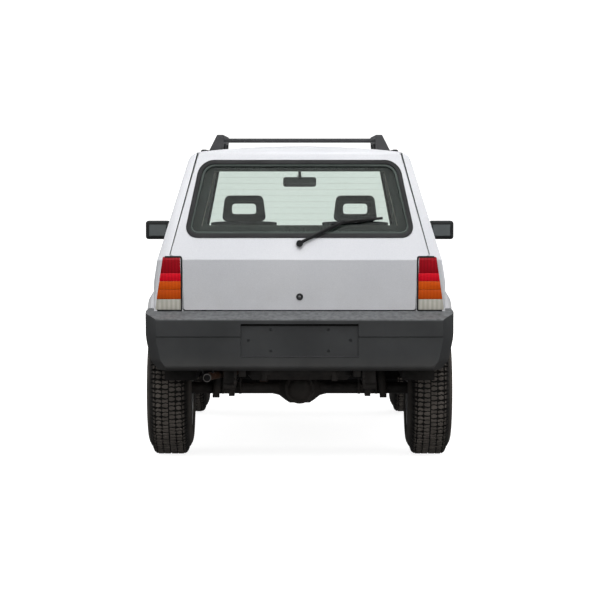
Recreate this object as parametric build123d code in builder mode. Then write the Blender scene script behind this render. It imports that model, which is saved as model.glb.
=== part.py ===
"""Small three-door four-wheel-drive hatchback with a boxy steel body.

Frame: +Y is forward, +X is the right-hand side, +Z is up, the origin is on the ground at the
centre of the car's outline. All sizes are millimetres.
"""
import os
from math import atan2, cos, degrees, hypot, radians, sin, tan

from build123d import *

os.makedirs("parts", exist_ok=True)

# ---------------------------------------------------------------- overall layout
overall_length = 3400
rear_overhang = 590
front_overhang = 640
wheelbase = overall_length - rear_overhang - front_overhang
track = 1282
mirror_reach = 866
tail_y = -overall_length / 2
nose_y = overall_length / 2
rear_axle_y = tail_y + rear_overhang
front_axle_y = rear_axle_y + wheelbase
wheel_x = track / 2

# ---------------------------------------------------------------- wheels and tyres
tyre_radius = 330
tyre_width = 222
tread_width = 146
shoulder_width = 182
shoulder_drop = 12
tyre_wall = 14
bead_radius = 190.5
bead_width = 190
rim_wall = 6
rim_flange_height = 13
rim_flange = 5
disc_offset = 24
disc_thickness = 8
hub_radius = 58
hub_length = 90
hub_inner_offset = 30
stub_radius = 25
bore_clearance = 0.1
seat_gap = 0.3
vent_count = 8
vent_radius = 17
vent_circle = 145
stud_count = 5
stud_circle = 139.7
stud_hole_radius = 6.5
brake_radius = 125
brake_width = 60

# ---------------------------------------------------------------- body skin
sill_z = 368
body_bottom_z = 470
sill_half_width = 716
waist_half_width = 712
waist_z = 800
waist_radius = 600
shoulder_half_width = 681
shoulder_z = 990
shoulder_radius = 150
lean = radians(16.87)
roof_crown_z = 1534
roof_crown_rise = 31
roof_edge_z = roof_crown_z - roof_crown_rise
roof_corner_radius = 70
side_wall = 60
roof_wall = 34
panel_skin = 25
gutter_x = 467
gap = 6
hinge_gap = 9

bumper_depth = 94
tail_bulge = 34
tail_bottom_y = tail_y + bumper_depth
tail_crease_y = tail_bottom_y - tail_bulge
tail_crease_z = shoulder_z
tail_bottom_z = 740
tail_lean_run = 140
tail_top_y = tail_crease_y + tail_lean_run
tail_top_z = roof_edge_z - 3
tail_corner_radius = 55
tailgate_depth = 58

screen_setback = 320
screen_base_y = front_axle_y - screen_setback
screen_base_z = 1000
screen_slope = 0.833
screen_wall = 44
screen_corner_radius = 70
nose_panel_depth = 55
nose_panel_y = nose_y - nose_panel_depth
bonnet_lip_depth = 45
bonnet_front_y = nose_panel_y - bonnet_lip_depth
bonnet_front_z = 900
nose_drop = 60
plan_taper = 14
plan_taper_length = 490
rear_plan_radius = 45
front_plan_radius = 90

floor_z = 400
floor_thickness = 24
boot_floor_z = 470
boot_step_run = 200
boot_step_y = rear_axle_y + boot_step_run
bulkhead_setback = 50
bulkhead_y = screen_base_y - bulkhead_setback
bulkhead_thickness = 20
rail_low_z = 360
rail_inner_x = 310
rail_outer_x = 360
rail_rear_run = 470
rail_rear_y = rear_axle_y + rail_rear_run
sheet = 10
crossmember_runs = [(225, 300), (380, 500)]
crossmember_width = 50
crossmember_low_z = 335

# ---------------------------------------------------------------- openings
door_front_setback = 462
door_front_y = front_axle_y - door_front_setback
door_rear_run = 565
door_rear_y = rear_axle_y + door_rear_run
door_bottom_z = 446
door_header = 48
door_top_z = roof_edge_z - door_header
door_frame = 46
door_inner_step = 18
door_corner_radius = 30
belt_z = 1010
pillar_width = 62
quarter_front_run = 490
quarter_front_y = rear_axle_y + quarter_front_run
quarter_rear_run = 220
quarter_rear_y = tail_crease_y + quarter_rear_run
quarter_bottom_z = 1015
quarter_header = 43
quarter_top_z = door_top_z - quarter_header
quarter_pillar = 105
window_radius = 38
glass_thickness = 5
glass_depth = 14
tailgate_low_x = 556
tailgate_wide_x = 618
tailgate_lean = 0.275
tailgate_step_z = 1004
tailgate_top_z = roof_crown_z + 20
tailgate_lip_run = 68
tailgate_front_y = tail_top_y + tailgate_lip_run
tailgate_roof_gap = 16
tailgate_lip_z = roof_edge_z - roof_wall - 10
tailgate_skin = 18
tailgate_inner_step = 18
tailgate_glass_low_x = 543
tailgate_glass_low_z = 1107
tailgate_glass_top_x = 465
tailgate_glass_top_z = door_top_z
tailgate_glass_radius = 55
screen_low_x = 551
screen_low_z = 1014
screen_top_x = 455
screen_header = 55
screen_top_z = roof_edge_z - screen_header
screen_radius = 45
bonnet_half_width = 596
bonnet_overlap = 66
bonnet_rear_y = screen_base_y + bonnet_overlap
nose_half_width = 652

# ---------------------------------------------------------------- wheel arches
arch_radius = 386
front_arch_radius = 402
flare_x = 750
flare_width = 98
front_flare_width = 46
flare_chamfer = 20
arch_inner_x = 510
front_arch_inner_x = 370

# ---------------------------------------------------------------- steering geometry
kingpin_inset = 80
kingpin_low_x = wheel_x - kingpin_inset
kingpin_low_z = 215
kingpin_top_z = 840
kingpin_lean = 0.1862
strut_radius = 22
strut_rod_radius = 12
ball_pin_radius = 10
pin_clearance = 0.3
tower_radius = 78


# ---------------------------------------------------------------- shared construction
def outline_prism(plane, points, depth, radius=0):
    """A closed outline on a plane, its corners rounded, extruded by depth."""
    with BuildPart() as prism:
        with BuildSketch(plane):
            with BuildLine():
                FilletPolyline(*points, radius=radius, close=True)
            make_face()
        extrude(amount=depth)
    return prism.part


def side_prism(points, x_low, x_high, radius=0):
    """A side-view outline of (y, z) points between two values of x."""
    return outline_prism(Plane.YZ.offset(x_low), points, x_high - x_low, radius)


def section_prism(points, y_low, y_high, radius=0):
    """A rear-view outline of (x, z) points between two values of y."""
    return outline_prism(Plane.XZ.offset(-y_high), points, y_high - y_low, radius)


def plan_prism(points, z_low, z_high, radius=0):
    """A plan-view outline of (x, y) points between two heights."""
    return outline_prism(Plane.XY.offset(z_low), points, z_high - z_low, radius)


def block(x_low, x_high, y_low, y_high, z_low, z_high, radius=0):
    """A block between two corners, its upright edges rounded."""
    corners = [(x_low, y_low), (x_high, y_low), (x_high, y_high), (x_low, y_high)]
    return plan_prism(corners, z_low, z_high, radius)


def both_sides(half):
    """The points of a right-hand half outline, closed through its mirror image."""
    return list(half) + [(-x, other) for x, other in reversed(half)]


def rod(start, end, radius):
    """A round bar between two points."""
    axis = Vector(*end) - Vector(*start)
    with BuildPart() as bar:
        with BuildSketch(Plane(origin=start, z_dir=axis)):
            Circle(radius)
        extrude(amount=axis.length)
    return bar.part


def pipe(points, radius):
    """Round bars end to end through points, a ball at every inner corner."""
    with BuildPart() as run:
        for start, end in zip(points, points[1:]):
            add(rod(start, end, radius))
        for corner in points[1:-1]:
            with Locations(corner):
                Sphere(radius)
    return run.part


def disc_along_x(x_low, x_high, y, z, radius):
    """A round disc whose axis runs across the car."""
    return rod((x_low, y, z), (x_high, y, z), radius)


def mirrored(part):
    """The same piece on the other side of the car."""
    return mirror(part, about=Plane.YZ)


def side_x(z, inset=0):
    """Half width of the leaning upper body side at a height, moved inwards by inset."""
    return shoulder_half_width - (z - shoulder_z) * tan(lean) - inset / cos(lean)


def roof_z(x):
    """Height of the roof's crown at a distance from the middle."""
    return roof_crown_z - (roof_crown_z - roof_edge_z) * (x / side_x(roof_edge_z)) ** 2


def screen_y(z, inset=0):
    """Where the windscreen plane is at a height, moved inwards by inset."""
    return screen_base_y - (z - screen_base_z) * screen_slope - inset * hypot(1, screen_slope)


tail_slope = (tail_top_y - tail_crease_y) / (tail_top_z - tail_crease_z)


def tail_y_at(z, inset=0):
    """Where the tailgate's upper plane is at a height, moved inwards by inset."""
    return tail_crease_y + (z - tail_crease_z) * tail_slope + inset * hypot(1, tail_slope)


bonnet_slope = (bonnet_front_z - screen_base_z) / (bonnet_front_y - screen_base_y)


def bonnet_z(y, inset=0):
    """Height of the bonnet plane at a place along the car, moved inwards by inset."""
    return screen_base_z + (y - screen_base_y) * bonnet_slope - inset


def section_solid(side_inset, top_inset, bottom_z, corner_radius, y_low=tail_y, y_high=nose_y):
    """The body's cross-section, moved inwards, along a stretch of the car."""
    with BuildPart() as solid:
        with BuildSketch(Plane.XZ.offset(-y_high)) as section:
            with BuildLine():
                edge_z = roof_edge_z - top_inset
                right = Polyline(
                    (sill_half_width - side_inset, bottom_z),
                    (waist_half_width - side_inset, waist_z),
                    (shoulder_half_width - side_inset, shoulder_z),
                    (side_x(edge_z, side_inset), edge_z),
                )
                roof_end = right @ 1
                ThreePointArc(roof_end, (0, roof_crown_z - top_inset), (-roof_end.X, roof_end.Y))
                mirror(right, about=Plane.YZ)
                Line(
                    (sill_half_width - side_inset, bottom_z),
                    (side_inset - sill_half_width, bottom_z),
                )
            make_face()
            fillet(section.vertices().group_by(Axis.Y)[1], radius=waist_radius)
            fillet(section.vertices().group_by(Axis.Y)[-2], radius=shoulder_radius)
            fillet(section.vertices().group_by(Axis.Y)[-1], radius=corner_radius)
        extrude(amount=y_high - y_low)
    return solid.part


# ---------------------------------------------------------------- master volumes
far_x = mirror_reach + 40
high_z = roof_crown_z + 100
side_outline = [
    (tail_bottom_y, body_bottom_z),
    (tail_bottom_y, tail_bottom_z),
    (tail_crease_y, tail_crease_z),
    (tail_y_at(roof_crown_z), roof_crown_z),
    (screen_y(roof_crown_z), roof_crown_z),
    (screen_base_y, screen_base_z),
    (bonnet_front_y, bonnet_front_z),
    (nose_panel_y, bonnet_front_z - nose_drop),
    (nose_panel_y - 5, body_bottom_z),
    (front_axle_y, sill_z),
    (rear_axle_y, sill_z),
]
side_outline_radii = [0, 0, 12, tail_corner_radius, screen_corner_radius, 30, 40, 40, 0, 0, 0]
plan_half = [
    (waist_half_width - plan_taper, tail_crease_y - 10),
    (sill_half_width, tail_crease_y + plan_taper_length),
    (sill_half_width, nose_panel_y - plan_taper_length),
    (waist_half_width - plan_taper, nose_panel_y + 10),
]
plan_radii = [rear_plan_radius, 2000, 2000, front_plan_radius]

with BuildPart() as outer_body:
    add(section_solid(0, 0, sill_z, roof_corner_radius))
    add(side_prism(side_outline, -far_x, far_x, side_outline_radii), mode=Mode.INTERSECT)
    add(
        plan_prism(both_sides(plan_half), 0, high_z, plan_radii + plan_radii[::-1]),
        mode=Mode.INTERSECT,
    )
outer = outer_body.part

cabin_section = section_solid(side_wall, roof_wall, rail_low_z, roof_corner_radius / 2)
cabin_outline = [
    (tail_bottom_y + tailgate_depth, rail_low_z),
    (tail_bottom_y + tailgate_depth, tail_bottom_z),
    (tail_crease_y + tailgate_depth, tail_crease_z),
    (tail_y_at(high_z, tailgate_depth), high_z),
    (screen_y(high_z, screen_wall), high_z),
    (screen_y(screen_base_z - 40, screen_wall), screen_base_z - 40),
    (bulkhead_y, screen_base_z - 60),
    (bulkhead_y, rail_low_z),
]
with BuildPart() as cabin_space:
    add(cabin_section)
    add(side_prism(cabin_outline, -far_x, far_x), mode=Mode.INTERSECT)
cabin = cabin_space.part

skin_section = section_solid(panel_skin, roof_wall, rail_low_z, roof_corner_radius / 2)
bay_outline = [
    (bulkhead_y, rail_low_z),
    (bulkhead_y, bonnet_z(bulkhead_y, panel_skin)),
    (bonnet_front_y, bonnet_z(bonnet_front_y, panel_skin)),
    (nose_panel_y - panel_skin, bonnet_front_z - nose_drop - panel_skin / 2),
    (nose_panel_y - panel_skin, rail_low_z),
]
with BuildPart() as bay_space:
    add(skin_section)
    add(side_prism(bay_outline, -far_x, far_x), mode=Mode.INTERSECT)
bay = bay_space.part

with BuildPart() as body_shell:
    add(outer)
    add(cabin, mode=Mode.SUBTRACT)
    add(bay, mode=Mode.SUBTRACT)
shell = body_shell.part

# ---------------------------------------------------------------- outlines shared by neighbours
pillar_back = pillar_width * hypot(1, screen_slope)
door_shoulder_z = screen_base_z + (screen_base_y - pillar_back - door_front_y) / screen_slope
aperture_front_y = door_front_y + hinge_gap


def slant_y(z, back=0):
    """The door's sloping front edge beside the windscreen pillar, moved back by an amount."""
    return screen_y(z) - pillar_back - back * hypot(1, screen_slope)


def door_ring(inset):
    """The door's outline in the side view, moved inwards by inset."""
    shoulder = door_shoulder_z - inset * 0.5
    return [
        (door_front_y - inset, door_bottom_z + inset),
        (door_front_y - inset, shoulder),
        (slant_y(door_top_z - inset, inset), door_top_z - inset),
        (door_rear_y + inset, door_top_z - inset),
        (door_rear_y + inset, door_bottom_z + inset),
    ]


door_radii = [door_corner_radius, 60, door_corner_radius, door_corner_radius, door_corner_radius]
door_aperture_outline = [
    (aperture_front_y, door_bottom_z - gap),
    (aperture_front_y, door_shoulder_z + 2),
    (slant_y(door_top_z + gap, -gap), door_top_z + gap),
    (door_rear_y - gap, door_top_z + gap),
    (door_rear_y - gap, door_bottom_z - gap),
]
door_window_outline = [
    (door_front_y - door_frame, belt_z),
    (door_front_y - door_frame, door_shoulder_z - door_frame / 2),
    (slant_y(door_top_z - door_frame, door_frame), door_top_z - door_frame),
    (door_rear_y + door_frame, door_top_z - door_frame),
    (door_rear_y + door_frame, belt_z),
]
door_window_radii = [14, 24, window_radius, window_radius, window_radius]
quarter_outline = [
    (quarter_front_y, quarter_bottom_z),
    (quarter_front_y, quarter_top_z),
    (tail_y_at(quarter_top_z) + quarter_pillar * 1.5, quarter_top_z),
    (quarter_rear_y, quarter_bottom_z),
]
tailgate_low_z = tail_bottom_z + 8
tailgate_top_x = tailgate_wide_x - (tailgate_top_z - tailgate_step_z - 8) * tailgate_lean
tailgate_half = [
    (tailgate_low_x, tailgate_low_z),
    (tailgate_low_x + 5, tailgate_step_z),
    (tailgate_wide_x, tailgate_step_z + 8),
    (tailgate_top_x, tailgate_top_z),
]
tailgate_inner_half = [(x - tailgate_inner_step, z) for x, z in tailgate_half]
tailgate_aperture_half = [
    (tailgate_low_x + gap, tail_bottom_z),
    (tailgate_low_x + 5 + gap, tailgate_step_z - gap),
    (tailgate_wide_x + gap + 2, tailgate_step_z + 8 - gap),
    (tailgate_top_x + gap + 5, tailgate_top_z + gap),
]
tailgate_window_half = [
    (tailgate_glass_low_x, tailgate_glass_low_z),
    (tailgate_glass_top_x, tailgate_glass_top_z),
]
windscreen_half = [(screen_low_x, screen_low_z), (screen_top_x, screen_top_z)]
lamp_low_z = 748
lamp_high_z = 1004
lamp_inner_x = 567
lamp_outer_x = 694
tail_lamp_outline = [
    (lamp_inner_x, lamp_low_z),
    (lamp_outer_x, lamp_low_z),
    (lamp_outer_x - 39, lamp_high_z),
    (lamp_inner_x + 5, lamp_high_z),
]
lamp_depth_y = tail_bottom_y + 16



def lid_side(grow, front_gap):
    """The tailgate's space in the side view: a panel behind the cabin and a lip over the roof."""
    depth = tailgate_depth + grow
    return side_prism(
        [
            (tail_y - 1, tail_bottom_z - 1),
            (tail_bottom_y + depth, tail_bottom_z - 1),
            (tail_crease_y + depth, tail_crease_z),
            (tail_y_at(tailgate_lip_z - grow, depth), tailgate_lip_z - grow),
            (tailgate_front_y + front_gap, tailgate_lip_z - grow),
            (tailgate_front_y + front_gap, high_z),
            (tail_y - 1, high_z),
        ],
        -far_x,
        far_x,
    )


door_aperture = side_prism(door_aperture_outline, 0, far_x, door_radii)
door_window = side_prism(door_window_outline, 0, far_x, door_window_radii)
quarter_window = side_prism(quarter_outline, 0, far_x, window_radius)
tailgate_aperture = section_prism(
    both_sides(tailgate_aperture_half), tail_y, tailgate_front_y + tailgate_roof_gap, 12
) & lid_side(gap, tailgate_roof_gap)
tailgate_window = section_prism(
    both_sides(tailgate_window_half), tail_y, tail_top_y + 200, tailgate_glass_radius
)
windscreen_aperture = section_prism(
    both_sides(windscreen_half), screen_y(high_z, screen_wall), nose_y, screen_radius
)
lamp_pocket = section_prism(tail_lamp_outline, tail_y, lamp_depth_y, 6)


def arch_disc(axle_y, radius, x_low):
    """The round space of a right-hand wheel arch."""
    return disc_along_x(x_low, far_x, axle_y, tyre_radius, radius)


def arch_cut(axle_y, radius, x_low):
    """The space of a wheel arch, open below."""
    with BuildPart() as space:
        add(arch_disc(axle_y, radius, x_low))
        add(block(x_low, far_x, axle_y - radius, axle_y + radius, 0, tyre_radius))
    return space.part


def arch_flare(axle_y, opening_radius, width):
    """The raised lip over a right-hand wheel arch, its opening already cut."""
    root_x = sill_half_width - panel_skin / 2
    with BuildPart() as flare:
        add(disc_along_x(root_x, flare_x, axle_y, tyre_radius, opening_radius + width))
        edge = flare.edges().filter_by(GeomType.CIRCLE).sort_by(Axis.X)[-1]
        chamfer(edge, length=flare_chamfer, length2=flare_x - sill_half_width)
        add(
            block(0, far_x, tail_y - 10, nose_y + 10, -tyre_radius, floor_z),
            mode=Mode.SUBTRACT,
        )
        add(arch_cut(axle_y, opening_radius, 0), mode=Mode.SUBTRACT)
    return flare.part


rear_arch = arch_cut(rear_axle_y, arch_radius, arch_inner_x)
front_arch = arch_cut(front_axle_y, front_arch_radius, front_arch_inner_x)
rear_flare = arch_flare(rear_axle_y, arch_radius, flare_width)
front_flare = arch_flare(front_axle_y, front_arch_radius, front_flare_width)

# ---------------------------------------------------------------- bumper shapes
bumper_low_z = 461
bumper_half_width = 739
bumper_wall = 9
bumper_corner_run = 54
bumper_corner_depth = 70
bumper_tuck_x = 62
bumper_tuck_z = 48
bumper_bend_x = 24
bumper_bend_z = 160
bumper_step_z = 626
bumper_step = 4
rear_bumper_high_z = 707
rear_bumper_shelf_z = 743
front_bumper_high_z = 690
front_bumper_shelf_z = 704
bumper_wrap = 255
bumper_inner_x = 600


def bumper_body(end_y, body_y, wrap_y, high_z, shelf_z, inset):
    """A bumper's block between the end of the car and its wheel arch, moved inwards by inset."""
    inwards = 1 if end_y < 0 else -1
    face_y = end_y + inwards * inset
    corner_y = end_y + inwards * bumper_corner_depth
    low_z = bumper_low_z + inset

    def cross_section(half):
        return both_sides([
            (half - bumper_tuck_x, low_z),
            (half - bumper_bend_x, low_z + bumper_tuck_z),
            (half, low_z + bumper_bend_z),
            (half, shelf_z + 10),
        ])

    softened = [20, 60, 300, 0, 0, 300, 60, 20]
    side_points = [
        (face_y + inwards * bumper_step, low_z),
        (face_y + inwards * bumper_step, bumper_step_z - bumper_step),
        (face_y, bumper_step_z),
        (face_y, high_z - inset / 2),
        (body_y, shelf_z - inset),
        (wrap_y, shelf_z - inset),
        (wrap_y, low_z),
    ]
    with BuildPart() as body:
        for y, half in (
            (face_y, bumper_half_width - bumper_corner_run - inset),
            (corner_y, bumper_half_width - inset),
        ):
            with BuildSketch(Plane.XZ.offset(-y)):
                with BuildLine():
                    FilletPolyline(*cross_section(half), radius=softened, close=True)
                make_face()
        loft(ruled=True)
        low_y, far_y = sorted((corner_y, wrap_y))
        add(section_prism(cross_section(bumper_half_width - inset), low_y, far_y, softened))
        add(side_prism(side_points, -far_x, far_x, [24, 0, 0, 14, 0, 0, 0]), mode=Mode.INTERSECT)
    return body.part


rear_wrap_y = rear_axle_y - bumper_wrap
front_wrap_y = front_axle_y + bumper_wrap
rear_bumper_shape = (
    tail_y, tail_bottom_y, rear_wrap_y, rear_bumper_high_z, rear_bumper_shelf_z
)
front_bumper_shape = (
    nose_y, nose_panel_y, front_wrap_y, front_bumper_high_z, front_bumper_shelf_z
)
rear_bumper_full = bumper_body(*rear_bumper_shape, 0)
rear_bumper_inside = bumper_body(*rear_bumper_shape, bumper_wall)
front_bumper_full = bumper_body(*front_bumper_shape, 0)
front_bumper_inside = bumper_body(*front_bumper_shape, bumper_wall)
behind_rear_bumper = block(
    gutter_x, far_x, tail_y, rear_wrap_y, 0, rear_bumper_high_z
) - bumper_body(*rear_bumper_shape, bumper_wall + 1)
behind_front_bumper = block(
    gutter_x, far_x, front_wrap_y, nose_y, 0, front_bumper_high_z
) - bumper_body(*front_bumper_shape, bumper_wall + 1)

# ---------------------------------------------------------------- hinges
pin_radius = 4
pin_length = 50
ear_thickness = 8
ear_width = 10
ear_path = [(0, 0), (-40, 23)]
neck_drop = 34
neck_rise = 20
pocket_height = 14
pocket_skin = 3
pocket_reach = 54
hinge_inset = 12
neck_reach = hinge_inset + tailgate_roof_gap + ear_width
gooseneck_path = [(0, 0), (-neck_drop, 0), (-neck_drop, neck_reach), (neck_rise - neck_drop, neck_reach)]


def hinge_ear(plane, path=ear_path):
    """An ear and its pin; the plane's origin is on the hinge axis, its normal along the axis,
    its x points out through the panel's skin and its y towards the neighbouring panel."""
    with BuildPart() as ear:
        with BuildSketch(plane.offset(-ear_thickness / 2)):
            for start, end in zip(path, path[1:]):
                run = Vector(*end) - Vector(*start)
                turn = degrees(atan2(run.Y, run.X))
                with Locations(Pos(*start) * Rot(0, 0, turn) * Pos(run.length / 2, 0)):
                    SlotCenterToCenter(run.length, ear_width)
        extrude(amount=ear_thickness)
        with BuildSketch(plane.offset(-pin_length / 2)):
            Circle(pin_radius)
        extrude(amount=pin_length)
    return ear.part


def hinge_room(plane):
    """The pocket and the bore that a moving panel needs round an ear and its pin."""
    reach = hinge_inset - pocket_skin
    with BuildPart() as room:
        with BuildSketch(plane.offset(-pocket_height / 2)):
            with Locations(((reach - pocket_reach) / 2, 2)):
                Rectangle(reach + pocket_reach, 2 * hinge_inset + 6)
        extrude(amount=pocket_height)
        with BuildSketch(plane.offset(-pin_length / 2 - 1)):
            Circle(pin_radius + pin_clearance)
        extrude(amount=pin_length + 2)
    return room.part


door_hinge_x = sill_half_width - hinge_inset
door_hinge_y = door_front_y - hinge_inset
door_hinge_heights = (540, 830)
door_hinge_planes = [
    Plane(origin=(door_hinge_x, door_hinge_y, z), x_dir=(1, 0, 0), z_dir=(0, 0, 1))
    for z in door_hinge_heights
]
tailgate_hinge_x = 250
tailgate_hinge_z = roof_z(tailgate_hinge_x) - hinge_inset
tailgate_hinge_y = tailgate_front_y - hinge_inset
tailgate_hinge_planes = [
    Plane(origin=(x, tailgate_hinge_y, tailgate_hinge_z), x_dir=(0, 0, 1), z_dir=(-1, 0, 0))
    for x in (-tailgate_hinge_x, tailgate_hinge_x)
]
bonnet_hinge_y = bonnet_rear_y + hinge_inset
bonnet_hinge_z = bonnet_z(bonnet_rear_y) - hinge_inset
bonnet_hinge_x = 450
bonnet_hinge_planes = [
    Plane(origin=(x, bonnet_hinge_y, bonnet_hinge_z), x_dir=(0, 0, 1), z_dir=(1, 0, 0))
    for x in (-bonnet_hinge_x, bonnet_hinge_x)
]

# ---------------------------------------------------------------- floor
cabin_rear_y = tail_bottom_y + tailgate_depth
floor_outline = [
    (cabin_rear_y, boot_floor_z),
    (cabin_rear_y, boot_floor_z + floor_thickness),
    (boot_step_y, boot_floor_z + floor_thickness),
    (boot_step_y, floor_z + floor_thickness),
    (bulkhead_y, floor_z + floor_thickness),
    (bulkhead_y, floor_z),
    (boot_step_y - floor_thickness, floor_z),
    (boot_step_y - floor_thickness, boot_floor_z),
]
front_wheelhouse = arch_disc(front_axle_y, front_arch_radius + sheet, rail_outer_x)
with BuildPart() as floor_pan:
    add(side_prism(floor_outline, -far_x, far_x))
    for side in (-1, 1):
        low, high = sorted((side * (arch_inner_x - sheet), side * sill_half_width))
        add(disc_along_x(low, high, rear_axle_y, tyre_radius, arch_radius + sheet))
    add(block(-far_x, far_x, tail_y, nose_y, 0, floor_z), mode=Mode.SUBTRACT)
    add(cabin_section, mode=Mode.INTERSECT)
    add(rear_arch, mode=Mode.SUBTRACT)
    add(mirrored(rear_arch), mode=Mode.SUBTRACT)
    add(front_wheelhouse, mode=Mode.SUBTRACT)
    add(mirrored(front_wheelhouse), mode=Mode.SUBTRACT)
    for side in (-1, 1):
        low, high = sorted((side * rail_inner_x, side * rail_outer_x))
        add(block(low, high, rail_rear_y, bulkhead_y, rail_low_z, floor_z))
        for inner_x, outer_x in crossmember_runs:
            low, high = sorted((side * inner_x, side * outer_x))
            add(
                block(
                    low,
                    high,
                    boot_step_y,
                    boot_step_y + crossmember_width,
                    crossmember_low_z,
                    floor_z,
                )
            )

# ---------------------------------------------------------------- body panels
with BuildPart() as wing_zone:
    add(block(0, far_x, aperture_front_y, nose_y, 0, screen_base_z))
with BuildPart() as side_panel_right:
    add(shell)
    add(block(gutter_x, far_x, tail_y, bulkhead_y, 0, high_z), mode=Mode.INTERSECT)
    add(wing_zone.part, mode=Mode.SUBTRACT)
    add(
        outer & block(gutter_x, far_x, bulkhead_y - 1, screen_base_y + 60, screen_base_z, high_z)
    )
    add(cabin, mode=Mode.SUBTRACT)
    add(
        (skin_section & block(gutter_x, far_x, aperture_front_y, bulkhead_y, sill_z, screen_base_z))
        - cabin
    )
    add(rear_flare - rear_bumper_full)
    add(cabin, mode=Mode.SUBTRACT)
    add(behind_rear_bumper, mode=Mode.SUBTRACT)
    add(door_aperture, mode=Mode.SUBTRACT)
    add(quarter_window, mode=Mode.SUBTRACT)
    add(tailgate_aperture, mode=Mode.SUBTRACT)
    add(windscreen_aperture, mode=Mode.SUBTRACT)
    add(lamp_pocket, mode=Mode.SUBTRACT)
    add(rear_arch, mode=Mode.SUBTRACT)
    add(
        arch_disc(front_axle_y, front_arch_radius + sheet, front_arch_inner_x), mode=Mode.SUBTRACT
    )
    for plane in door_hinge_planes:
        add(hinge_ear(plane))

with BuildPart() as side_panel_left:
    add(mirrored(side_panel_right.part))

roof_panel_drop = 60
with BuildPart() as roof_panel:
    add(shell)
    add(
        block(-gutter_x, gutter_x, tail_y, screen_base_y, screen_top_z - roof_panel_drop, high_z),
        mode=Mode.INTERSECT,
    )
    add(tailgate_aperture, mode=Mode.SUBTRACT)
    add(windscreen_aperture, mode=Mode.SUBTRACT)
    for plane in tailgate_hinge_planes:
        add(hinge_ear(plane, gooseneck_path))

with BuildPart() as rear_panel:
    add(shell)
    add(
        block(-gutter_x, gutter_x, tail_y, cabin_rear_y, 0, tail_bottom_z),
        mode=Mode.INTERSECT,
    )

# ---------------------------------------------------------------- front end
wing_side_gap = bonnet_half_width + gap
nose_cut_y = bonnet_front_y - 4 + gap
with BuildPart() as wing_right:
    add(outer)
    add(block(0, far_x, aperture_front_y, nose_y, 0, screen_base_z), mode=Mode.INTERSECT)
    add(bay, mode=Mode.SUBTRACT)
    add(
        skin_section & block(0, far_x, aperture_front_y - 1, bulkhead_y + 1, 0, high_z),
        mode=Mode.SUBTRACT,
    )
    add(
        block(0, wing_side_gap, bulkhead_y, nose_cut_y, 0, high_z),
        mode=Mode.SUBTRACT,
    )
    add(block(0, nose_half_width, nose_cut_y - 1, nose_y, 0, high_z), mode=Mode.SUBTRACT)
    add(front_flare - skin_section - front_bumper_full)
    add(front_arch, mode=Mode.SUBTRACT)
    add(behind_front_bumper, mode=Mode.SUBTRACT)
with BuildPart() as front_wings:
    add(wing_right.part)
    add(mirrored(wing_right.part))

# bonnet
bonnet_front_edge_y = nose_cut_y - gap
bonnet_pad_half_width = 36
bonnet_pad_length = 46
bonnet_pad_depth = 28
with BuildPart() as bonnet:
    add(outer)
    add(
        block(
            -bonnet_half_width,
            bonnet_half_width,
            bonnet_rear_y,
            bonnet_front_edge_y,
            bonnet_front_z - nose_drop,
            high_z,
        ),
        mode=Mode.INTERSECT,
    )
    add(bay, mode=Mode.SUBTRACT)
    for side in (-1, 1):
        add(
            block(
                side * bonnet_hinge_x - bonnet_pad_half_width,
                side * bonnet_hinge_x + bonnet_pad_half_width,
                bonnet_rear_y,
                bonnet_rear_y + bonnet_pad_length,
                bonnet_hinge_z - bonnet_pad_depth,
                bonnet_hinge_z + pin_radius,
            )
        )
    for plane in bonnet_hinge_planes:
        add(hinge_room(plane), mode=Mode.SUBTRACT)

# cowl
cowl_low_z = screen_base_z - 70
cowl_front_y = bonnet_rear_y - hinge_gap
cowl_wall = 30
cowl_lip = 14
cowl_skin = 26
with BuildPart() as cowl_panel:
    add(outer)
    add(
        block(-wing_side_gap, wing_side_gap, bulkhead_y, cowl_front_y, cowl_low_z, screen_base_z)
        + block(-gutter_x, gutter_x, bulkhead_y, cowl_front_y, screen_base_z, screen_low_z),
        mode=Mode.INTERSECT,
    )
    add(cabin, mode=Mode.SUBTRACT)
    add(
        block(
            -wing_side_gap + cowl_wall,
            wing_side_gap - cowl_wall,
            screen_base_y - 10,
            cowl_front_y - cowl_lip,
            cowl_low_z - 1,
            screen_base_z - cowl_skin,
        ),
        mode=Mode.SUBTRACT,
    )
    for plane in bonnet_hinge_planes:
        add(hinge_ear(plane))

# nose panel, lamps and grille
lamp_band_low_z = 712
lamp_band_high_z = 862
headlamp_inner_x = 440
headlamp_outer_x = 638
grille_half_width = 428
lamp_body_depth = 70
with BuildPart() as headlamp_space:
    add(
        block(
            headlamp_inner_x,
            headlamp_outer_x,
            nose_panel_y - lamp_body_depth,
            nose_y,
            lamp_band_low_z,
            lamp_band_high_z,
        )
    )
headlamp_room = headlamp_space.part
grille_room = block(
    -grille_half_width,
    grille_half_width,
    nose_panel_y - panel_skin,
    nose_y,
    lamp_band_low_z,
    lamp_band_high_z,
)
with BuildPart() as nose_panel:
    add(outer)
    add(
        block(-nose_half_width, nose_half_width, nose_cut_y, nose_y, 0, high_z),
        mode=Mode.INTERSECT,
    )
    add(bay, mode=Mode.SUBTRACT)
    add(headlamp_room, mode=Mode.SUBTRACT)
    add(mirrored(headlamp_room), mode=Mode.SUBTRACT)
    add(grille_room, mode=Mode.SUBTRACT)

with BuildPart() as headlamps:
    add(headlamp_room & outer)
    add(mirrored(headlamp_room & outer))

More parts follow.
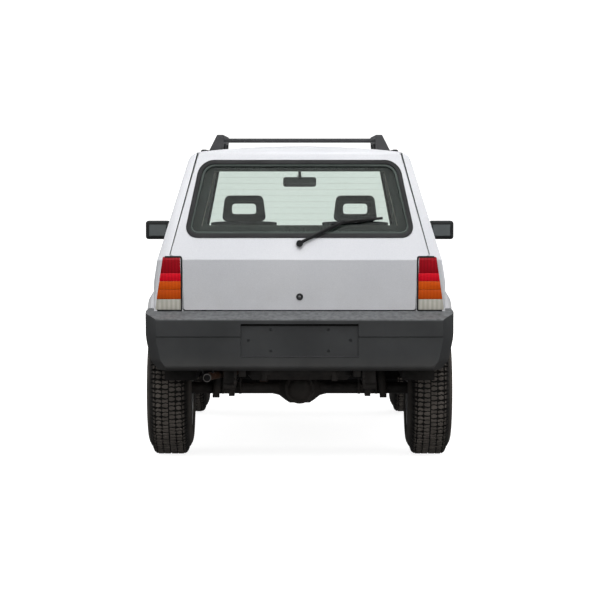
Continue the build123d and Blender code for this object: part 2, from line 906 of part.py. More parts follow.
slat_count = 5
slat_space = 14
grille_frame = 16
slat_pitch = (lamp_band_high_z - lamp_band_low_z - grille_frame) / slat_count
with BuildPart() as grille:
    add(grille_room & outer)
    for index in range(slat_count):
        z = lamp_band_low_z + grille_frame + index * slat_pitch
        add(
            block(
                -grille_half_width + slat_space,
                grille_half_width - slat_space,
                nose_panel_y - lamp_body_depth,
                nose_y,
                z,
                z + slat_space,
            ),
            mode=Mode.SUBTRACT,
        )

# structure behind the nose
bay_front_y = nose_panel_y - panel_skin
bay_floor_z = 440
bay_wall_top_z = 800
nose_rail_height = 70
nose_rail_width = 60
subframe_depth = 40
subframe_half_length = 60


def kingpin_x(z):
    """Where the right-hand steering axis is at a height."""
    return kingpin_low_x - (z - kingpin_low_z) * kingpin_lean


def along_kingpin(z_low, z_high, radius):
    """A round bar on the right-hand steering axis between two heights."""
    return rod(
        (kingpin_x(z_low), front_axle_y, z_low), (kingpin_x(z_high), front_axle_y, z_high), radius
    )


tower_x = kingpin_x(kingpin_top_z)
with BuildPart() as tower_room:
    add(
        block(
            front_arch_inner_x,
            tower_x + tower_radius - sheet,
            front_axle_y - tower_radius + sheet,
            front_axle_y + tower_radius - sheet,
            tyre_radius,
            kingpin_top_z,
        )
    )
with BuildPart() as bay_side:
    add(
        disc_along_x(
            front_arch_inner_x - sheet,
            far_x,
            front_axle_y,
            tyre_radius,
            front_arch_radius + sheet,
        )
    )
    add(
        block(
            front_arch_inner_x - sheet,
            tower_x + tower_radius,
            front_axle_y - tower_radius,
            front_axle_y + tower_radius,
            tyre_radius,
            kingpin_top_z + sheet,
        )
    )
    add(block(0, far_x, tail_y, nose_y, 0, floor_z), mode=Mode.SUBTRACT)
    add(block(0, far_x, front_wrap_y, nose_y, 0, body_bottom_z), mode=Mode.SUBTRACT)
    add(skin_section, mode=Mode.INTERSECT)
    add(front_arch, mode=Mode.SUBTRACT)
    add(tower_room.part, mode=Mode.SUBTRACT)
    add(
        block(
            front_arch_inner_x - sheet,
            front_arch_inner_x,
            bulkhead_y,
            bay_front_y,
            bay_floor_z,
            bay_wall_top_z,
        )
    )
    add(
        block(
            rail_inner_x - 10,
            front_arch_inner_x - sheet,
            bulkhead_y,
            bay_front_y,
            floor_z,
            floor_z + nose_rail_height,
        )
    )
    add(
        along_kingpin(kingpin_top_z - 20, kingpin_top_z + 30, strut_rod_radius + pin_clearance),
        mode=Mode.SUBTRACT,
    )
nose_rail = block(
    -rail_outer_x,
    rail_outer_x,
    bay_front_y - nose_rail_width,
    bay_front_y,
    floor_z,
    floor_z + nose_rail_height,
)
subframe = block(
    -rail_outer_x,
    rail_outer_x,
    front_axle_y - subframe_half_length,
    front_axle_y + subframe_half_length,
    floor_z - subframe_depth,
    floor_z,
)
with BuildPart() as front_structure:
    add(
        block(-far_x, far_x, bulkhead_y, bulkhead_y + bulkhead_thickness, floor_z, cowl_low_z)
        & skin_section
    )
    add(nose_rail)
    add(subframe)
    add(bay_side.part)
    add(mirrored(bay_side.part))
    add(front_arch, mode=Mode.SUBTRACT)
    add(mirrored(front_arch), mode=Mode.SUBTRACT)

# ---------------------------------------------------------------- engine, drive and underside
engine_half_width = 240
engine_rear_y = front_axle_y - 230
engine_front_y = front_axle_y + 250
engine_top_z = 860
bell_half_width = 130
bell_top_z = 640
radiator_half_width = 280
radiator_thickness = 40
radiator_top_z = lamp_band_high_z - 20
battery_width = 90
battery_length = 180
battery_height = 190
battery_y = front_axle_y - 120
with BuildPart() as engine_block:
    add(block(-engine_half_width, engine_half_width, engine_rear_y, engine_front_y,
              floor_z, engine_top_z))
    add(block(-bell_half_width, bell_half_width, bulkhead_y + 40, engine_rear_y,
              floor_z, bell_top_z))
with BuildPart() as bay_parts:
    add(block(-radiator_half_width, radiator_half_width, bay_front_y - radiator_thickness - 10,
              bay_front_y - 10, floor_z + nose_rail_height, radiator_top_z))
    add(block(-rail_outer_x, battery_width - rail_outer_x, battery_y - battery_length, battery_y,
              bay_wall_top_z - battery_height, bay_wall_top_z))

gearbox_half_width = 110
gearbox_low_z = 330
gearbox_rear_y = bulkhead_y - 420
gearbox_front_y = front_axle_y - 150
stub_reach = 40
propshaft_radius = 24
diff_radius = 75
diff_half_width = 50
diff_side_x = 73
diff_flare_x = 135
axle_radius = 29
drum_inner_x = wheel_x - hub_inner_offset - 6 - brake_width
with BuildPart() as gearbox:
    add(block(-gearbox_half_width, gearbox_half_width, gearbox_rear_y, gearbox_front_y,
              gearbox_low_z, floor_z))
diff_half = [
    (-diff_flare_x, axle_radius),
    (-diff_flare_x * 0.76, axle_radius + 8),
    (-diff_side_x, diff_radius - 15),
    (-diff_half_width, diff_radius),
]
with BuildPart() as rear_axle:
    add(disc_along_x(-drum_inner_x, drum_inner_x, rear_axle_y, tyre_radius, axle_radius))
    with BuildSketch(Plane.XY.offset(tyre_radius)):
        with BuildLine():
            Polyline(
                (-diff_flare_x, rear_axle_y),
                *[(x, rear_axle_y + radius) for x, radius in diff_half],
                *[(-x, rear_axle_y + radius) for x, radius in reversed(diff_half)],
                (diff_flare_x, rear_axle_y),
                close=True,
            )
        make_face()
    revolve(axis=Axis((0, rear_axle_y, tyre_radius), (1, 0, 0)))
    for side in (-1, 1):
        x = side * drum_inner_x
        add(rod((x, rear_axle_y, tyre_radius), (x + side * brake_width, rear_axle_y, tyre_radius),
                brake_radius))
        add(rod((x, rear_axle_y, tyre_radius), (side * (wheel_x + stub_reach), rear_axle_y, tyre_radius),
                stub_radius))

spring_x = 340
spring_width = 56
spring_half_length = 410
spring_thickness = 20
spring_eye_z = 385
spring_low_z = tyre_radius + axle_radius
spring_eye_radius = 17
clamp_half_width = 14
clamp_half_length = 40
clamp_drop = 10
damper_x = 418
damper_radius = 21
damper_lean = 20
damper_top_y = rear_axle_y - 90
bracket_half_width = 17
bracket_rear_y = rear_axle_y - 44
bracket_front_y = rear_axle_y - 8
bracket_low_z = tyre_radius - 46
tie_thickness = 18
with BuildPart() as rear_springs:
    for side in (-1, 1):
        low = side * spring_x - spring_width / 2
        with BuildSketch(Plane.YZ.offset(low)):
            with BuildLine():
                lower = ThreePointArc(
                    (rear_axle_y - spring_half_length, spring_eye_z - spring_thickness),
                    (rear_axle_y, spring_low_z),
                    (rear_axle_y + spring_half_length, spring_eye_z - spring_thickness),
                )
                Line(lower @ 1, (rear_axle_y + spring_half_length, spring_eye_z))
                upper = ThreePointArc(
                    (rear_axle_y + spring_half_length, spring_eye_z),
                    (rear_axle_y, spring_low_z + spring_thickness),
                    (rear_axle_y - spring_half_length, spring_eye_z),
                )
                Line(upper @ 1, lower @ 0)
            make_face()
        extrude(amount=spring_width)
        add(block(side * spring_x - clamp_half_width, side * spring_x + clamp_half_width,
                  rear_axle_y - clamp_half_length, rear_axle_y + clamp_half_length,
                  tyre_radius - axle_radius - clamp_drop, spring_low_z + 2))
        add(block(side * damper_x - bracket_half_width, side * damper_x + bracket_half_width,
                  bracket_rear_y, bracket_front_y, bracket_low_z, tyre_radius + 20))
        tie_low, tie_high = sorted(
            (side * (spring_x - clamp_half_width), side * (damper_x + bracket_half_width))
        )
        add(block(tie_low, tie_high, bracket_rear_y, bracket_rear_y + tie_thickness,
                  bracket_low_z + 20, bracket_low_z + 20 + tie_thickness))
        add(rod((side * damper_x, bracket_rear_y - 6, bracket_low_z + 26),
                (side * (damper_x - damper_lean), damper_top_y, boot_floor_z - 10),
                damper_radius))
        for end in (-1, 1):
            y = rear_axle_y + end * spring_half_length
            top_z = boot_floor_z if end < 0 else floor_z
            add(disc_along_x(low, low + spring_width, y, spring_eye_z - 10, spring_eye_radius))
            add(block(low, low + spring_width, y - 10, y + 10, spring_eye_z - 10, top_z))
    add(disc_along_x(-drum_inner_x, drum_inner_x, rear_axle_y, tyre_radius, axle_radius),
        mode=Mode.SUBTRACT)

with BuildPart() as propshaft:
    add(rod((0, gearbox_rear_y, gearbox_low_z + 40), (0, rear_axle_y + diff_radius - 2, tyre_radius),
            propshaft_radius))
    add(rear_axle.part, mode=Mode.SUBTRACT)
    add(gearbox.part, mode=Mode.SUBTRACT)

tank_half_width = 255
tank_low_z = 402
with BuildPart() as fuel_tank:
    add(block(-tank_half_width, tank_half_width, cabin_rear_y + 30, rear_axle_y - 110,
              tank_low_z, boot_floor_z, 40))
    chamfer(fuel_tank.edges().group_by(Axis.Z)[0], length=24)

pipe_radius = 19
tip_x = -442
tip_z = 427
exhaust_x = 180
muffler_radius = 60
muffler_length = 410
muffler_run = 560
muffler_rear_y = boot_step_y + muffler_run
muffler_z = floor_z - 66
pipe_z = floor_z - 60
with BuildPart() as exhaust:
    add(pipe([
        (-exhaust_x, front_axle_y - 110, floor_z + 5),
        (-exhaust_x, front_axle_y - 150, pipe_z),
        (-exhaust_x, rear_axle_y + 155, pipe_z),
        (-exhaust_x - 20, rear_axle_y + 80, boot_floor_z - 50),
        (-exhaust_x - 110, rear_axle_y - 100, boot_floor_z - 44),
        (tip_x, tail_bottom_y, tip_z),
        (tip_x, tail_y + 10, tip_z),
    ], pipe_radius))
    add(rod((-exhaust_x, muffler_rear_y, muffler_z),
            (-exhaust_x, muffler_rear_y + muffler_length, muffler_z), muffler_radius))
    add(engine_block.part, mode=Mode.SUBTRACT)

# front suspension and steering
arm_pivot_x = rail_outer_x - 40
arm_pivot_z = floor_z - 65
arm_radius = 16
arm_bracket_half = 25
rack_tube_radius = 24
rack_tube_half = rail_inner_x - 60
rack_tube_y = front_axle_y - 45
with BuildPart() as front_suspension:
    for side in (-1, 1):
        add(rod((side * arm_pivot_x, front_axle_y, arm_pivot_z),
                (side * kingpin_low_x, front_axle_y, kingpin_low_z - 10), arm_radius))
        add(block(side * arm_pivot_x - arm_bracket_half, side * arm_pivot_x + arm_bracket_half,
                  front_axle_y - 30, front_axle_y + 30,
                  arm_pivot_z - arm_bracket_half + 2, floor_z - subframe_depth))
    pin = along_kingpin(kingpin_low_z - 10, kingpin_low_z + 70, ball_pin_radius)
    add(pin)
    add(mirrored(pin))
    add(disc_along_x(-rack_tube_half, rack_tube_half, rack_tube_y, arm_pivot_z, rack_tube_radius))
    add(block(50 - rack_tube_half, rack_tube_half - 50, rack_tube_y - 15, rack_tube_y + 15,
              arm_pivot_z + 5, floor_z - subframe_depth))

lug_low_z = kingpin_low_z + 30
strut_top_z = kingpin_top_z - 170
spring_plate_radius = 50
front_brake_x = wheel_x - hub_inner_offset - 24
front_brake_width = 18
front_brake_radius = 120
with BuildPart() as knuckle_front_right:
    add(along_kingpin(lug_low_z, tyre_radius + 10, strut_radius + 2))
    add(along_kingpin(tyre_radius, strut_top_z, strut_radius))
    add(along_kingpin(strut_top_z, kingpin_top_z + 20, strut_rod_radius))
    add(along_kingpin(strut_top_z + 5, strut_top_z + 12, spring_plate_radius))
    add(rod((front_brake_x, front_axle_y, tyre_radius),
            (front_brake_x + front_brake_width, front_axle_y, tyre_radius), front_brake_radius))
    add(rod((kingpin_x(tyre_radius), front_axle_y, tyre_radius),
            (wheel_x + stub_reach, front_axle_y, tyre_radius), stub_radius))
    add(
        along_kingpin(kingpin_low_z - 20, kingpin_low_z + 74, ball_pin_radius + pin_clearance),
        mode=Mode.SUBTRACT,
    )
with BuildPart() as knuckle_front_left:
    add(mirrored(knuckle_front_right.part))

# ---------------------------------------------------------------- wheels
barrel_radius = bead_radius - seat_gap
flange_radius = barrel_radius + rim_flange_height
rim_half = bead_width / 2 + rim_flange


def make_rim(axle_y):
    """A right-hand steel wheel with its hub."""
    with BuildPart() as rim:
        with BuildSketch(Plane.XY.offset(tyre_radius)):
            with BuildLine():
                Polyline(
                    (wheel_x - rim_half, axle_y + barrel_radius - rim_wall),
                    (wheel_x - rim_half, axle_y + flange_radius),
                    (wheel_x - rim_half + rim_flange, axle_y + flange_radius),
                    (wheel_x - rim_half + rim_flange, axle_y + barrel_radius),
                    (wheel_x + rim_half - rim_flange, axle_y + barrel_radius),
                    (wheel_x + rim_half - rim_flange, axle_y + flange_radius),
                    (wheel_x + rim_half, axle_y + flange_radius),
                    (wheel_x + rim_half, axle_y + barrel_radius - rim_wall),
                    close=True,
                )
            make_face()
            with BuildLine():
                Polyline(
                    (wheel_x + disc_offset, axle_y),
                    (wheel_x + disc_offset, axle_y + barrel_radius - 2),
                    (wheel_x + disc_offset + disc_thickness, axle_y + barrel_radius - 2),
                    (wheel_x + disc_offset + disc_thickness, axle_y),
                    close=True,
                )
            make_face()
            with BuildLine():
                Polyline(
                    (wheel_x - hub_inner_offset, axle_y),
                    (wheel_x - hub_inner_offset, axle_y + hub_radius),
                    (wheel_x - hub_inner_offset + hub_length, axle_y + hub_radius),
                    (wheel_x - hub_inner_offset + hub_length, axle_y),
                    close=True,
                )
            make_face()
        revolve(axis=Axis((0, axle_y, tyre_radius), (1, 0, 0)))
        add(
            disc_along_x(
                wheel_x - hub_inner_offset - 1,
                wheel_x + stub_reach + 2,
                axle_y,
                tyre_radius,
                stub_radius + bore_clearance,
            ),
            mode=Mode.SUBTRACT,
        )
        with BuildSketch(Plane.YZ.offset(wheel_x + disc_offset - 1)):
            with Locations((axle_y, tyre_radius)):
                with PolarLocations(vent_circle, vent_count):
                    Circle(vent_radius)
                with PolarLocations(stud_circle / 2, stud_count):
                    Circle(stud_hole_radius)
        extrude(amount=disc_thickness + 2, mode=Mode.SUBTRACT)
    return rim.part


def make_tyre(axle_y):
    """A right-hand tyre: a hollow ring open towards the rim."""
    half_tread = tread_width / 2
    half_shoulder = shoulder_width / 2
    half_section = tyre_width / 2
    half_bead = bead_width / 2 - 1
    side_radius = (bead_radius + tyre_radius) / 2
    outer_half = [
        (half_bead, bead_radius),
        (half_bead, bead_radius + rim_flange_height + 3),
        (half_section, side_radius),
        (half_shoulder + 6, tyre_radius - 32),
        (half_shoulder, tyre_radius - shoulder_drop),
        (half_tread, tyre_radius),
    ]
    inner_half = [
        (half_bead - tyre_wall, bead_radius),
        (half_section - tyre_wall, side_radius),
        (half_shoulder - tyre_wall, tyre_radius - tyre_wall * 2),
    ]
    outline = outer_half + [(-x, r) for x, r in reversed(outer_half)]
    outline += [(-x, r) for x, r in inner_half] + [(x, r) for x, r in reversed(inner_half)]
    with BuildPart() as tyre:
        with BuildSketch(Plane.XY.offset(tyre_radius)):
            with BuildLine():
                Polyline(*[(wheel_x + x, axle_y + r) for x, r in outline], close=True)
            make_face()
        revolve(axis=Axis((0, axle_y, tyre_radius), (1, 0, 0)))
    return tyre.part


with BuildPart() as rim_front_right:
    add(make_rim(front_axle_y))
with BuildPart() as rim_rear_right:
    add(make_rim(rear_axle_y))
with BuildPart() as rim_front_left:
    add(mirrored(rim_front_right.part))
with BuildPart() as rim_rear_left:
    add(mirrored(rim_rear_right.part))
with BuildPart() as tyre_front_right:
    add(make_tyre(front_axle_y))
with BuildPart() as tyre_rear_right:
    add(make_tyre(rear_axle_y))
with BuildPart() as tyre_front_left:
    add(mirrored(tyre_front_right.part))
with BuildPart() as tyre_rear_left:
    add(mirrored(tyre_rear_right.part))

# ---------------------------------------------------------------- doors
with BuildPart() as glass_band:
    add(section_solid(glass_depth, 0, sill_z, roof_corner_radius / 2))
    add(section_solid(glass_depth + glass_thickness, 0, rail_low_z, roof_corner_radius / 2),
        mode=Mode.SUBTRACT)
side_glass_band = glass_band.part

with BuildPart() as door_right:
    add(outer)
    add(side_prism(door_ring(0), 0, far_x, door_radii), mode=Mode.INTERSECT)
    add(cabin_section, mode=Mode.SUBTRACT)
    add(
        (skin_section & side_prism(door_ring(-2), 0, far_x, door_radii))
        - side_prism(door_ring(door_inner_step), 0, far_x, door_radii),
        mode=Mode.SUBTRACT,
    )
    add(door_window, mode=Mode.SUBTRACT)
    for plane in door_hinge_planes:
        add(hinge_room(plane), mode=Mode.SUBTRACT)
with BuildPart() as door_left:
    add(mirrored(door_right.part))
with BuildPart() as door_glass_right:
    add(door_window & side_glass_band)
with BuildPart() as door_glass_left:
    add(mirrored(door_glass_right.part))

mirror_setback = 610
mirror_y = front_axle_y - mirror_setback
mirror_depth = 80
mirror_low_z = 1033
mirror_high_z = 1137
mirror_inner_x = 730
mirror_corner = 16
mirror_foot_half = 20
with BuildPart() as mirror_right:
    add(block(mirror_inner_x, mirror_reach, mirror_y - mirror_depth / 2, mirror_y + mirror_depth / 2,
              mirror_low_z, mirror_high_z))
    fillet(mirror_right.edges(), radius=mirror_corner)
    add(block(side_x(belt_z) - 20, mirror_inner_x + 30, mirror_y - mirror_foot_half,
              mirror_y + mirror_foot_half, belt_z - 26, mirror_low_z + 20))
    add(outer, mode=Mode.SUBTRACT)
with BuildPart() as mirror_left:
    add(mirrored(mirror_right.part))

# ---------------------------------------------------------------- tailgate
with BuildPart() as tailgate:
    add(outer)
    add(
        section_prism(both_sides(tailgate_half), tail_y, tailgate_front_y, 10),
        mode=Mode.INTERSECT,
    )
    add(lid_side(0, 0), mode=Mode.INTERSECT)
    add(
        lid_side(0, 0)
        - lid_side(tailgate_skin - tailgate_depth, 0)
        - section_prism(both_sides(tailgate_inner_half), tail_y, tailgate_front_y, 10),
        mode=Mode.SUBTRACT,
    )
    add(cabin, mode=Mode.SUBTRACT)
    add(tailgate_window, mode=Mode.SUBTRACT)
    for plane in tailgate_hinge_planes:
        add(hinge_room(plane), mode=Mode.SUBTRACT)
tail_glass_outline = [
    (tail_y_at(tail_bottom_z, glass_depth), tail_bottom_z),
    (tail_y_at(high_z, glass_depth), high_z),
    (tail_y_at(high_z, glass_depth + glass_thickness), high_z),
    (tail_y_at(tail_bottom_z, glass_depth + glass_thickness), tail_bottom_z),
]
with BuildPart() as tailgate_glass:
    add(side_prism(tail_glass_outline, -far_x, far_x))
    add(tailgate_window, mode=Mode.INTERSECT)

wiper_pivot_z = 1068
wiper_arm_end = (217, 1172)
wiper_blade = ((150, 1160), (399, 1189))
wiper_lift = 14
wiper_tube_radius = 6
wiper_pivot_radius = 16


def on_tail(x, z, lift=wiper_lift):
    """A point just outside the tailgate's plane."""
    return (x, tail_y_at(z) - lift, z)


with BuildPart() as rear_wiper:
    add(rod(on_tail(0, wiper_pivot_z, -2), on_tail(0, wiper_pivot_z, 22), wiper_pivot_radius))
    add(rod(on_tail(0, wiper_pivot_z), on_tail(*wiper_arm_end), wiper_tube_radius))
    add(rod(on_tail(*wiper_blade[0], 8), on_tail(*wiper_blade[1], 8), wiper_tube_radius))
    add(tailgate.part, mode=Mode.SUBTRACT)

# ---------------------------------------------------------------- lamps, glass and bumpers
lamp_full = lamp_pocket & outer
lens_thickness = 12
with BuildPart() as tail_lamps:
    add(lamp_full & Pos(0, lens_thickness, 0) * outer)
    add(mirrored(tail_lamps.part))
with BuildPart() as tail_lenses:
    add(lamp_full - Pos(0, lens_thickness, 0) * outer)
    add(mirrored(tail_lenses.part))

screen_glass_outline = [
    (screen_y(high_z, glass_depth), high_z),
    (screen_y(bonnet_front_z, glass_depth), bonnet_front_z),
    (screen_y(bonnet_front_z, glass_depth + glass_thickness), bonnet_front_z),
    (screen_y(high_z, glass_depth + glass_thickness), high_z),
]
with BuildPart() as fixed_glass:
    add(side_prism(screen_glass_outline, -far_x, far_x) & windscreen_aperture)
    add(quarter_window & side_glass_band)
    add(mirrored(quarter_window & side_glass_band))

plate_half_width = 282
plate_low_z = 529
plate_high_z = 686
plate_recess = 14
screw_holes = [(138, 51), (138, -51), (-138, 51), (-138, -51), (244, 0), (-244, 0)]
screw_hole_radius = 3
bumper_iron_half = 20
with BuildPart() as rear_bumper:
    add(rear_bumper_full)
    add(rear_bumper_inside, mode=Mode.SUBTRACT)
    add(
        block(
            -plate_half_width - bumper_wall,
            plate_half_width + bumper_wall,
            tail_y + bumper_wall / 2,
            tail_y + plate_recess + bumper_wall,
            plate_low_z - bumper_wall,
            plate_high_z + bumper_wall,
        )
    )
    add(
        block(
            -plate_half_width,
            plate_half_width,
            tail_y,
            tail_y + plate_recess,
            plate_low_z,
            plate_high_z,
        ),
        mode=Mode.SUBTRACT,
    )
    for side in (-1, 1):
        add(
            block(
                side * rail_inner_x - bumper_iron_half,
                side * rail_inner_x + bumper_iron_half,
                tail_y + bumper_wall / 2,
                tail_bottom_y + 1,
                plate_low_z - 20,
                plate_high_z - 60,
            )
        )
    add(outer, mode=Mode.SUBTRACT)
    add(
        block(-bumper_inner_x, bumper_inner_x, tail_bottom_y, rear_wrap_y, 0, high_z),
        mode=Mode.SUBTRACT,
    )
    add(rear_arch, mode=Mode.SUBTRACT)
    add(mirrored(rear_arch), mode=Mode.SUBTRACT)
    with BuildSketch(Plane.XZ.offset(-tail_y - plate_recess - bumper_wall - 1)):
        with Locations(*[(x, (plate_low_z + plate_high_z) / 2 + dz) for x, dz in screw_holes]):
            Circle(screw_hole_radius)
    extrude(amount=2 * bumper_wall + 2, mode=Mode.SUBTRACT)

indicator_low_z = 590
indicator_high_z = 650
indicator_inner_x = 470
indicator_outer_x = 640
intake_half_width = 330
intake_height = 18
intake_pitch = 34
indicator_depth = 30
indicator_room = block(
    indicator_inner_x,
    indicator_outer_x,
    nose_y - indicator_depth,
    nose_y,
    indicator_low_z,
    indicator_high_z,
)
with BuildPart() as front_bumper:
    add(front_bumper_full)
    add(front_bumper_inside, mode=Mode.SUBTRACT)
    for side in (-1, 1):
        add(
            block(
                side * rail_inner_x - bumper_iron_half,
                side * rail_inner_x + bumper_iron_half,
                nose_panel_y - 6,
                nose_y - bumper_wall / 2,
                bumper_low_z + 100,
                front_bumper_high_z - 30,
            )
        )
    add(indicator_room, mode=Mode.SUBTRACT)
    add(mirrored(indicator_room), mode=Mode.SUBTRACT)
    for index in range(2):
        z = bumper_low_z + (index + 1) * intake_pitch
        add(
            block(-intake_half_width, intake_half_width, nose_y - 20, nose_y, z, z + intake_height),
            mode=Mode.SUBTRACT,
        )
    add(outer, mode=Mode.SUBTRACT)
    add(
        block(-bumper_inner_x, bumper_inner_x, front_wrap_y, nose_panel_y, 0, high_z),
        mode=Mode.SUBTRACT,
    )
    add(front_arch, mode=Mode.SUBTRACT)
    add(mirrored(front_arch), mode=Mode.SUBTRACT)
with BuildPart() as front_indicators:
    add(indicator_room & front_bumper_full)
    add(mirrored(indicator_room & front_bumper_full))

# ---------------------------------------------------------------- cabin
trim_gap = 12
trim_section = section_solid(side_wall + trim_gap, roof_wall, rail_low_z, roof_corner_radius / 2)
driver_x = -297
dash_depth = 200
dash_rear_y = bulkhead_y - dash_depth
dash_top_z = 1105
dash_low_z = 720
dash_edge_z = dash_top_z - 65
dash_base_z = screen_base_z - 15
shelf_low_z = 940
shelf_depth = 90
dash_outline = [
    (bulkhead_y, dash_low_z),
    (dash_rear_y + 70, dash_low_z + 10),
    (dash_rear_y, dash_low_z + 80),
    (dash_rear_y - 10, dash_edge_z),
    (dash_rear_y + 20, dash_top_z),
    (dash_rear_y + 66, dash_top_z),
    (screen_y(dash_top_z - 55, screen_wall + 6), dash_top_z - 55),
    (screen_y(dash_base_z, screen_wall + 6), dash_base_z),
    (bulkhead_y, dash_base_z - 55),
]
with BuildPart() as dashboard:
    add(side_prism(dash_outline, -far_x, far_x, [0, 20, 40, 30, 18, 18, 20, 0, 0]))
    add(trim_section, mode=Mode.INTERSECT)
    add(cabin, mode=Mode.INTERSECT)
    add(
        block(
            driver_x + 190,
            -driver_x + 190,
            dash_rear_y - 40,
            dash_rear_y + shelf_depth,
            shelf_low_z,
            dash_edge_z,
        ),
        mode=Mode.SUBTRACT,
    )

column_tilt = radians(25)
wheel_setback = 165
wheel_hub_y = dash_rear_y - wheel_setback
wheel_hub_z = 955
steering_rim_radius = 182
steering_tube_radius = 14
steering_hub_radius = 46
spoke_width = 40
spoke_thickness = 14
column_radius = 34
stalk_reach = 150
stalk_radius = 6


def on_column(reach):
    """A point on the steering column's axis, reach ahead of the steering wheel's hub."""
    return (driver_x, wheel_hub_y + reach * cos(column_tilt), wheel_hub_z - reach * sin(column_tilt))


column_plane = Plane(
    origin=on_column(0), x_dir=(1, 0, 0), z_dir=(0, -cos(column_tilt), sin(column_tilt))
)
with BuildPart() as steering_wheel:
    with Locations(column_plane):
        Torus(steering_rim_radius, steering_tube_radius)
    with BuildSketch(column_plane.offset(-40)):
        Circle(steering_hub_radius)
    extrude(amount=34)
    with BuildSketch(column_plane.offset(-20)):
        Rectangle(2 * steering_rim_radius, spoke_width)
        with Locations((0, -steering_rim_radius / 2)):
            Rectangle(spoke_width, steering_rim_radius)
    extrude(amount=spoke_thickness)
    add(rod(on_column(41), on_column(12), ball_pin_radius + pin_clearance), mode=Mode.SUBTRACT)
with BuildPart() as steering_column:
    add(rod(on_column(46), on_column(340), column_radius))
    add(rod(on_column(13), on_column(60), ball_pin_radius))
    for side in (-1, 1):
        stalk_end = (driver_x + side * stalk_reach, wheel_hub_y + 60, wheel_hub_z - 10)
        add(rod(on_column(70), stalk_end, stalk_radius))
    add(dashboard.part, mode=Mode.SUBTRACT)
    add(
        block(-far_x, far_x, bulkhead_y, nose_y, 0, high_z),
        mode=Mode.SUBTRACT,
    )

floor_top_z = floor_z + floor_thickness
pedal_pitch = 75
pedal_reach = 110
pedal_low_z = 490
pedal_height = 60
pedal_half_width = 22
tunnel_half_width = 60
tunnel_height = 60
tunnel_rear_y = bulkhead_y - 460
tunnel_front_y = bulkhead_y - 200
gear_lever_y = bulkhead_y - 300
gear_knob_z = 700
drive_lever_y = bulkhead_y - 420
drive_knob_z = 610
lever_radius = 8
handbrake_length = 150
handbrake_radius = 13
with BuildPart() as pedal_set:
    for index in range(3):
        x = driver_x + (index - 1) * pedal_pitch
        add(rod((x, bulkhead_y, pedal_low_z + 2.5 * pedal_height),
                (x, bulkhead_y - pedal_reach, pedal_low_z + pedal_height / 2), lever_radius))
        add(block(x - pedal_half_width, x + pedal_half_width, bulkhead_y - pedal_reach - 12,
                  bulkhead_y - pedal_reach + 2, pedal_low_z, pedal_low_z + pedal_height))
    add(block(-far_x, far_x, bulkhead_y, nose_y, 0, high_z), mode=Mode.SUBTRACT)
with BuildPart() as controls:
    add(pedal_set.part)
    add(block(-tunnel_half_width, tunnel_half_width, tunnel_rear_y, tunnel_front_y,
              floor_top_z, floor_top_z + tunnel_height, 20))
    add(rod((0, gear_lever_y, floor_top_z + tunnel_height - 5),
            (0, gear_lever_y - 40, gear_knob_z), lever_radius))
    add(rod((0, gear_lever_y - 38, gear_knob_z - 10), (0, gear_lever_y - 44, gear_knob_z + 35), 20))
    add(rod((0, drive_lever_y, floor_top_z + tunnel_height - 5),
            (0, drive_lever_y - 30, drive_knob_z), lever_radius))
    add(block(-pedal_half_width, pedal_half_width, 0, handbrake_length,
              floor_top_z, floor_top_z + tunnel_height / 2))
    add(rod((0, 10, floor_top_z + 20), (0, handbrake_length + 20, floor_top_z + 110),
            handbrake_radius))

seat_x = 297
seat_half_width = 225
seat_back_half_width = 187
seat_setback = 240
seat_front_y = dash_rear_y - seat_setback
seat_length = 450
seat_rear_y = seat_front_y - seat_length
seat_base_z = 590
seat_cushion_z = 700
seat_back_top_z = 1130
runner_x = 150
runner_half_width = 18
runner_height = 30
leg_half_width = 10
leg_length = 40
seat_pan_half_width = 190
seat_pan_thickness = 20
rear_seat_half_width = 490
rear_seat_run = 60
rear_seat_y = door_rear_y + rear_seat_run
rear_base_height = 60
with BuildPart() as seat_frames:
    for side in (-1, 1):
        for edge in (-1, 1):
            x = side * seat_x + edge * runner_x
            add(block(x - runner_half_width, x + runner_half_width, seat_rear_y + 20,
                      seat_front_y - 60, floor_top_z, floor_top_z + runner_height))
            for y in (seat_rear_y + 50, seat_front_y - 110):
                add(block(x - leg_half_width, x + leg_half_width, y, y + leg_length,
                          floor_top_z + runner_height - 1, seat_base_z))
        add(
            block(
                side * seat_x - seat_pan_half_width,
                side * seat_x + seat_pan_half_width,
                seat_rear_y + 20,
                seat_front_y - 30,
                seat_base_z - seat_pan_thickness,
                seat_base_z,
            )
        )
    add(
        block(
            rear_base_height - rear_seat_half_width,
            rear_seat_half_width - rear_base_height,
            boot_step_y + 30,
            rear_seat_y - 80,
            floor_top_z,
            floor_top_z + rear_base_height,
        )
    )
back_outline = [
    (seat_rear_y + 10, seat_base_z + 20),
    (seat_rear_y - 110, seat_back_top_z),
    (seat_rear_y - 20, seat_back_top_z),
    (seat_rear_y + 120, seat_cushion_z + 2),
    (seat_rear_y + 100, seat_base_z + 20),
]
with BuildPart() as front_seats:
    for side in (-1, 1):
        center = side * seat_x
        add(
            block(
                center - seat_half_width,
                center + seat_half_width,
                seat_rear_y + 101,
                seat_front_y,
                seat_base_z,
                seat_cushion_z,
                40,
            )
        )
        add(
            side_prism(
                back_outline,
                center - seat_back_half_width,
                center + seat_back_half_width,
                [20, 30, 30, 20, 10],
            )
        )
headrest_low_z = 1142
headrest_high_z = 1289
headrest_y = seat_rear_y - 62
headrest_half = 113
headrest_half_depth = 35
headrest_taper = 12
headrest_hole_half = 63
headrest_hole_low_z = headrest_low_z + 42
headrest_hole_high_z = headrest_high_z - 46
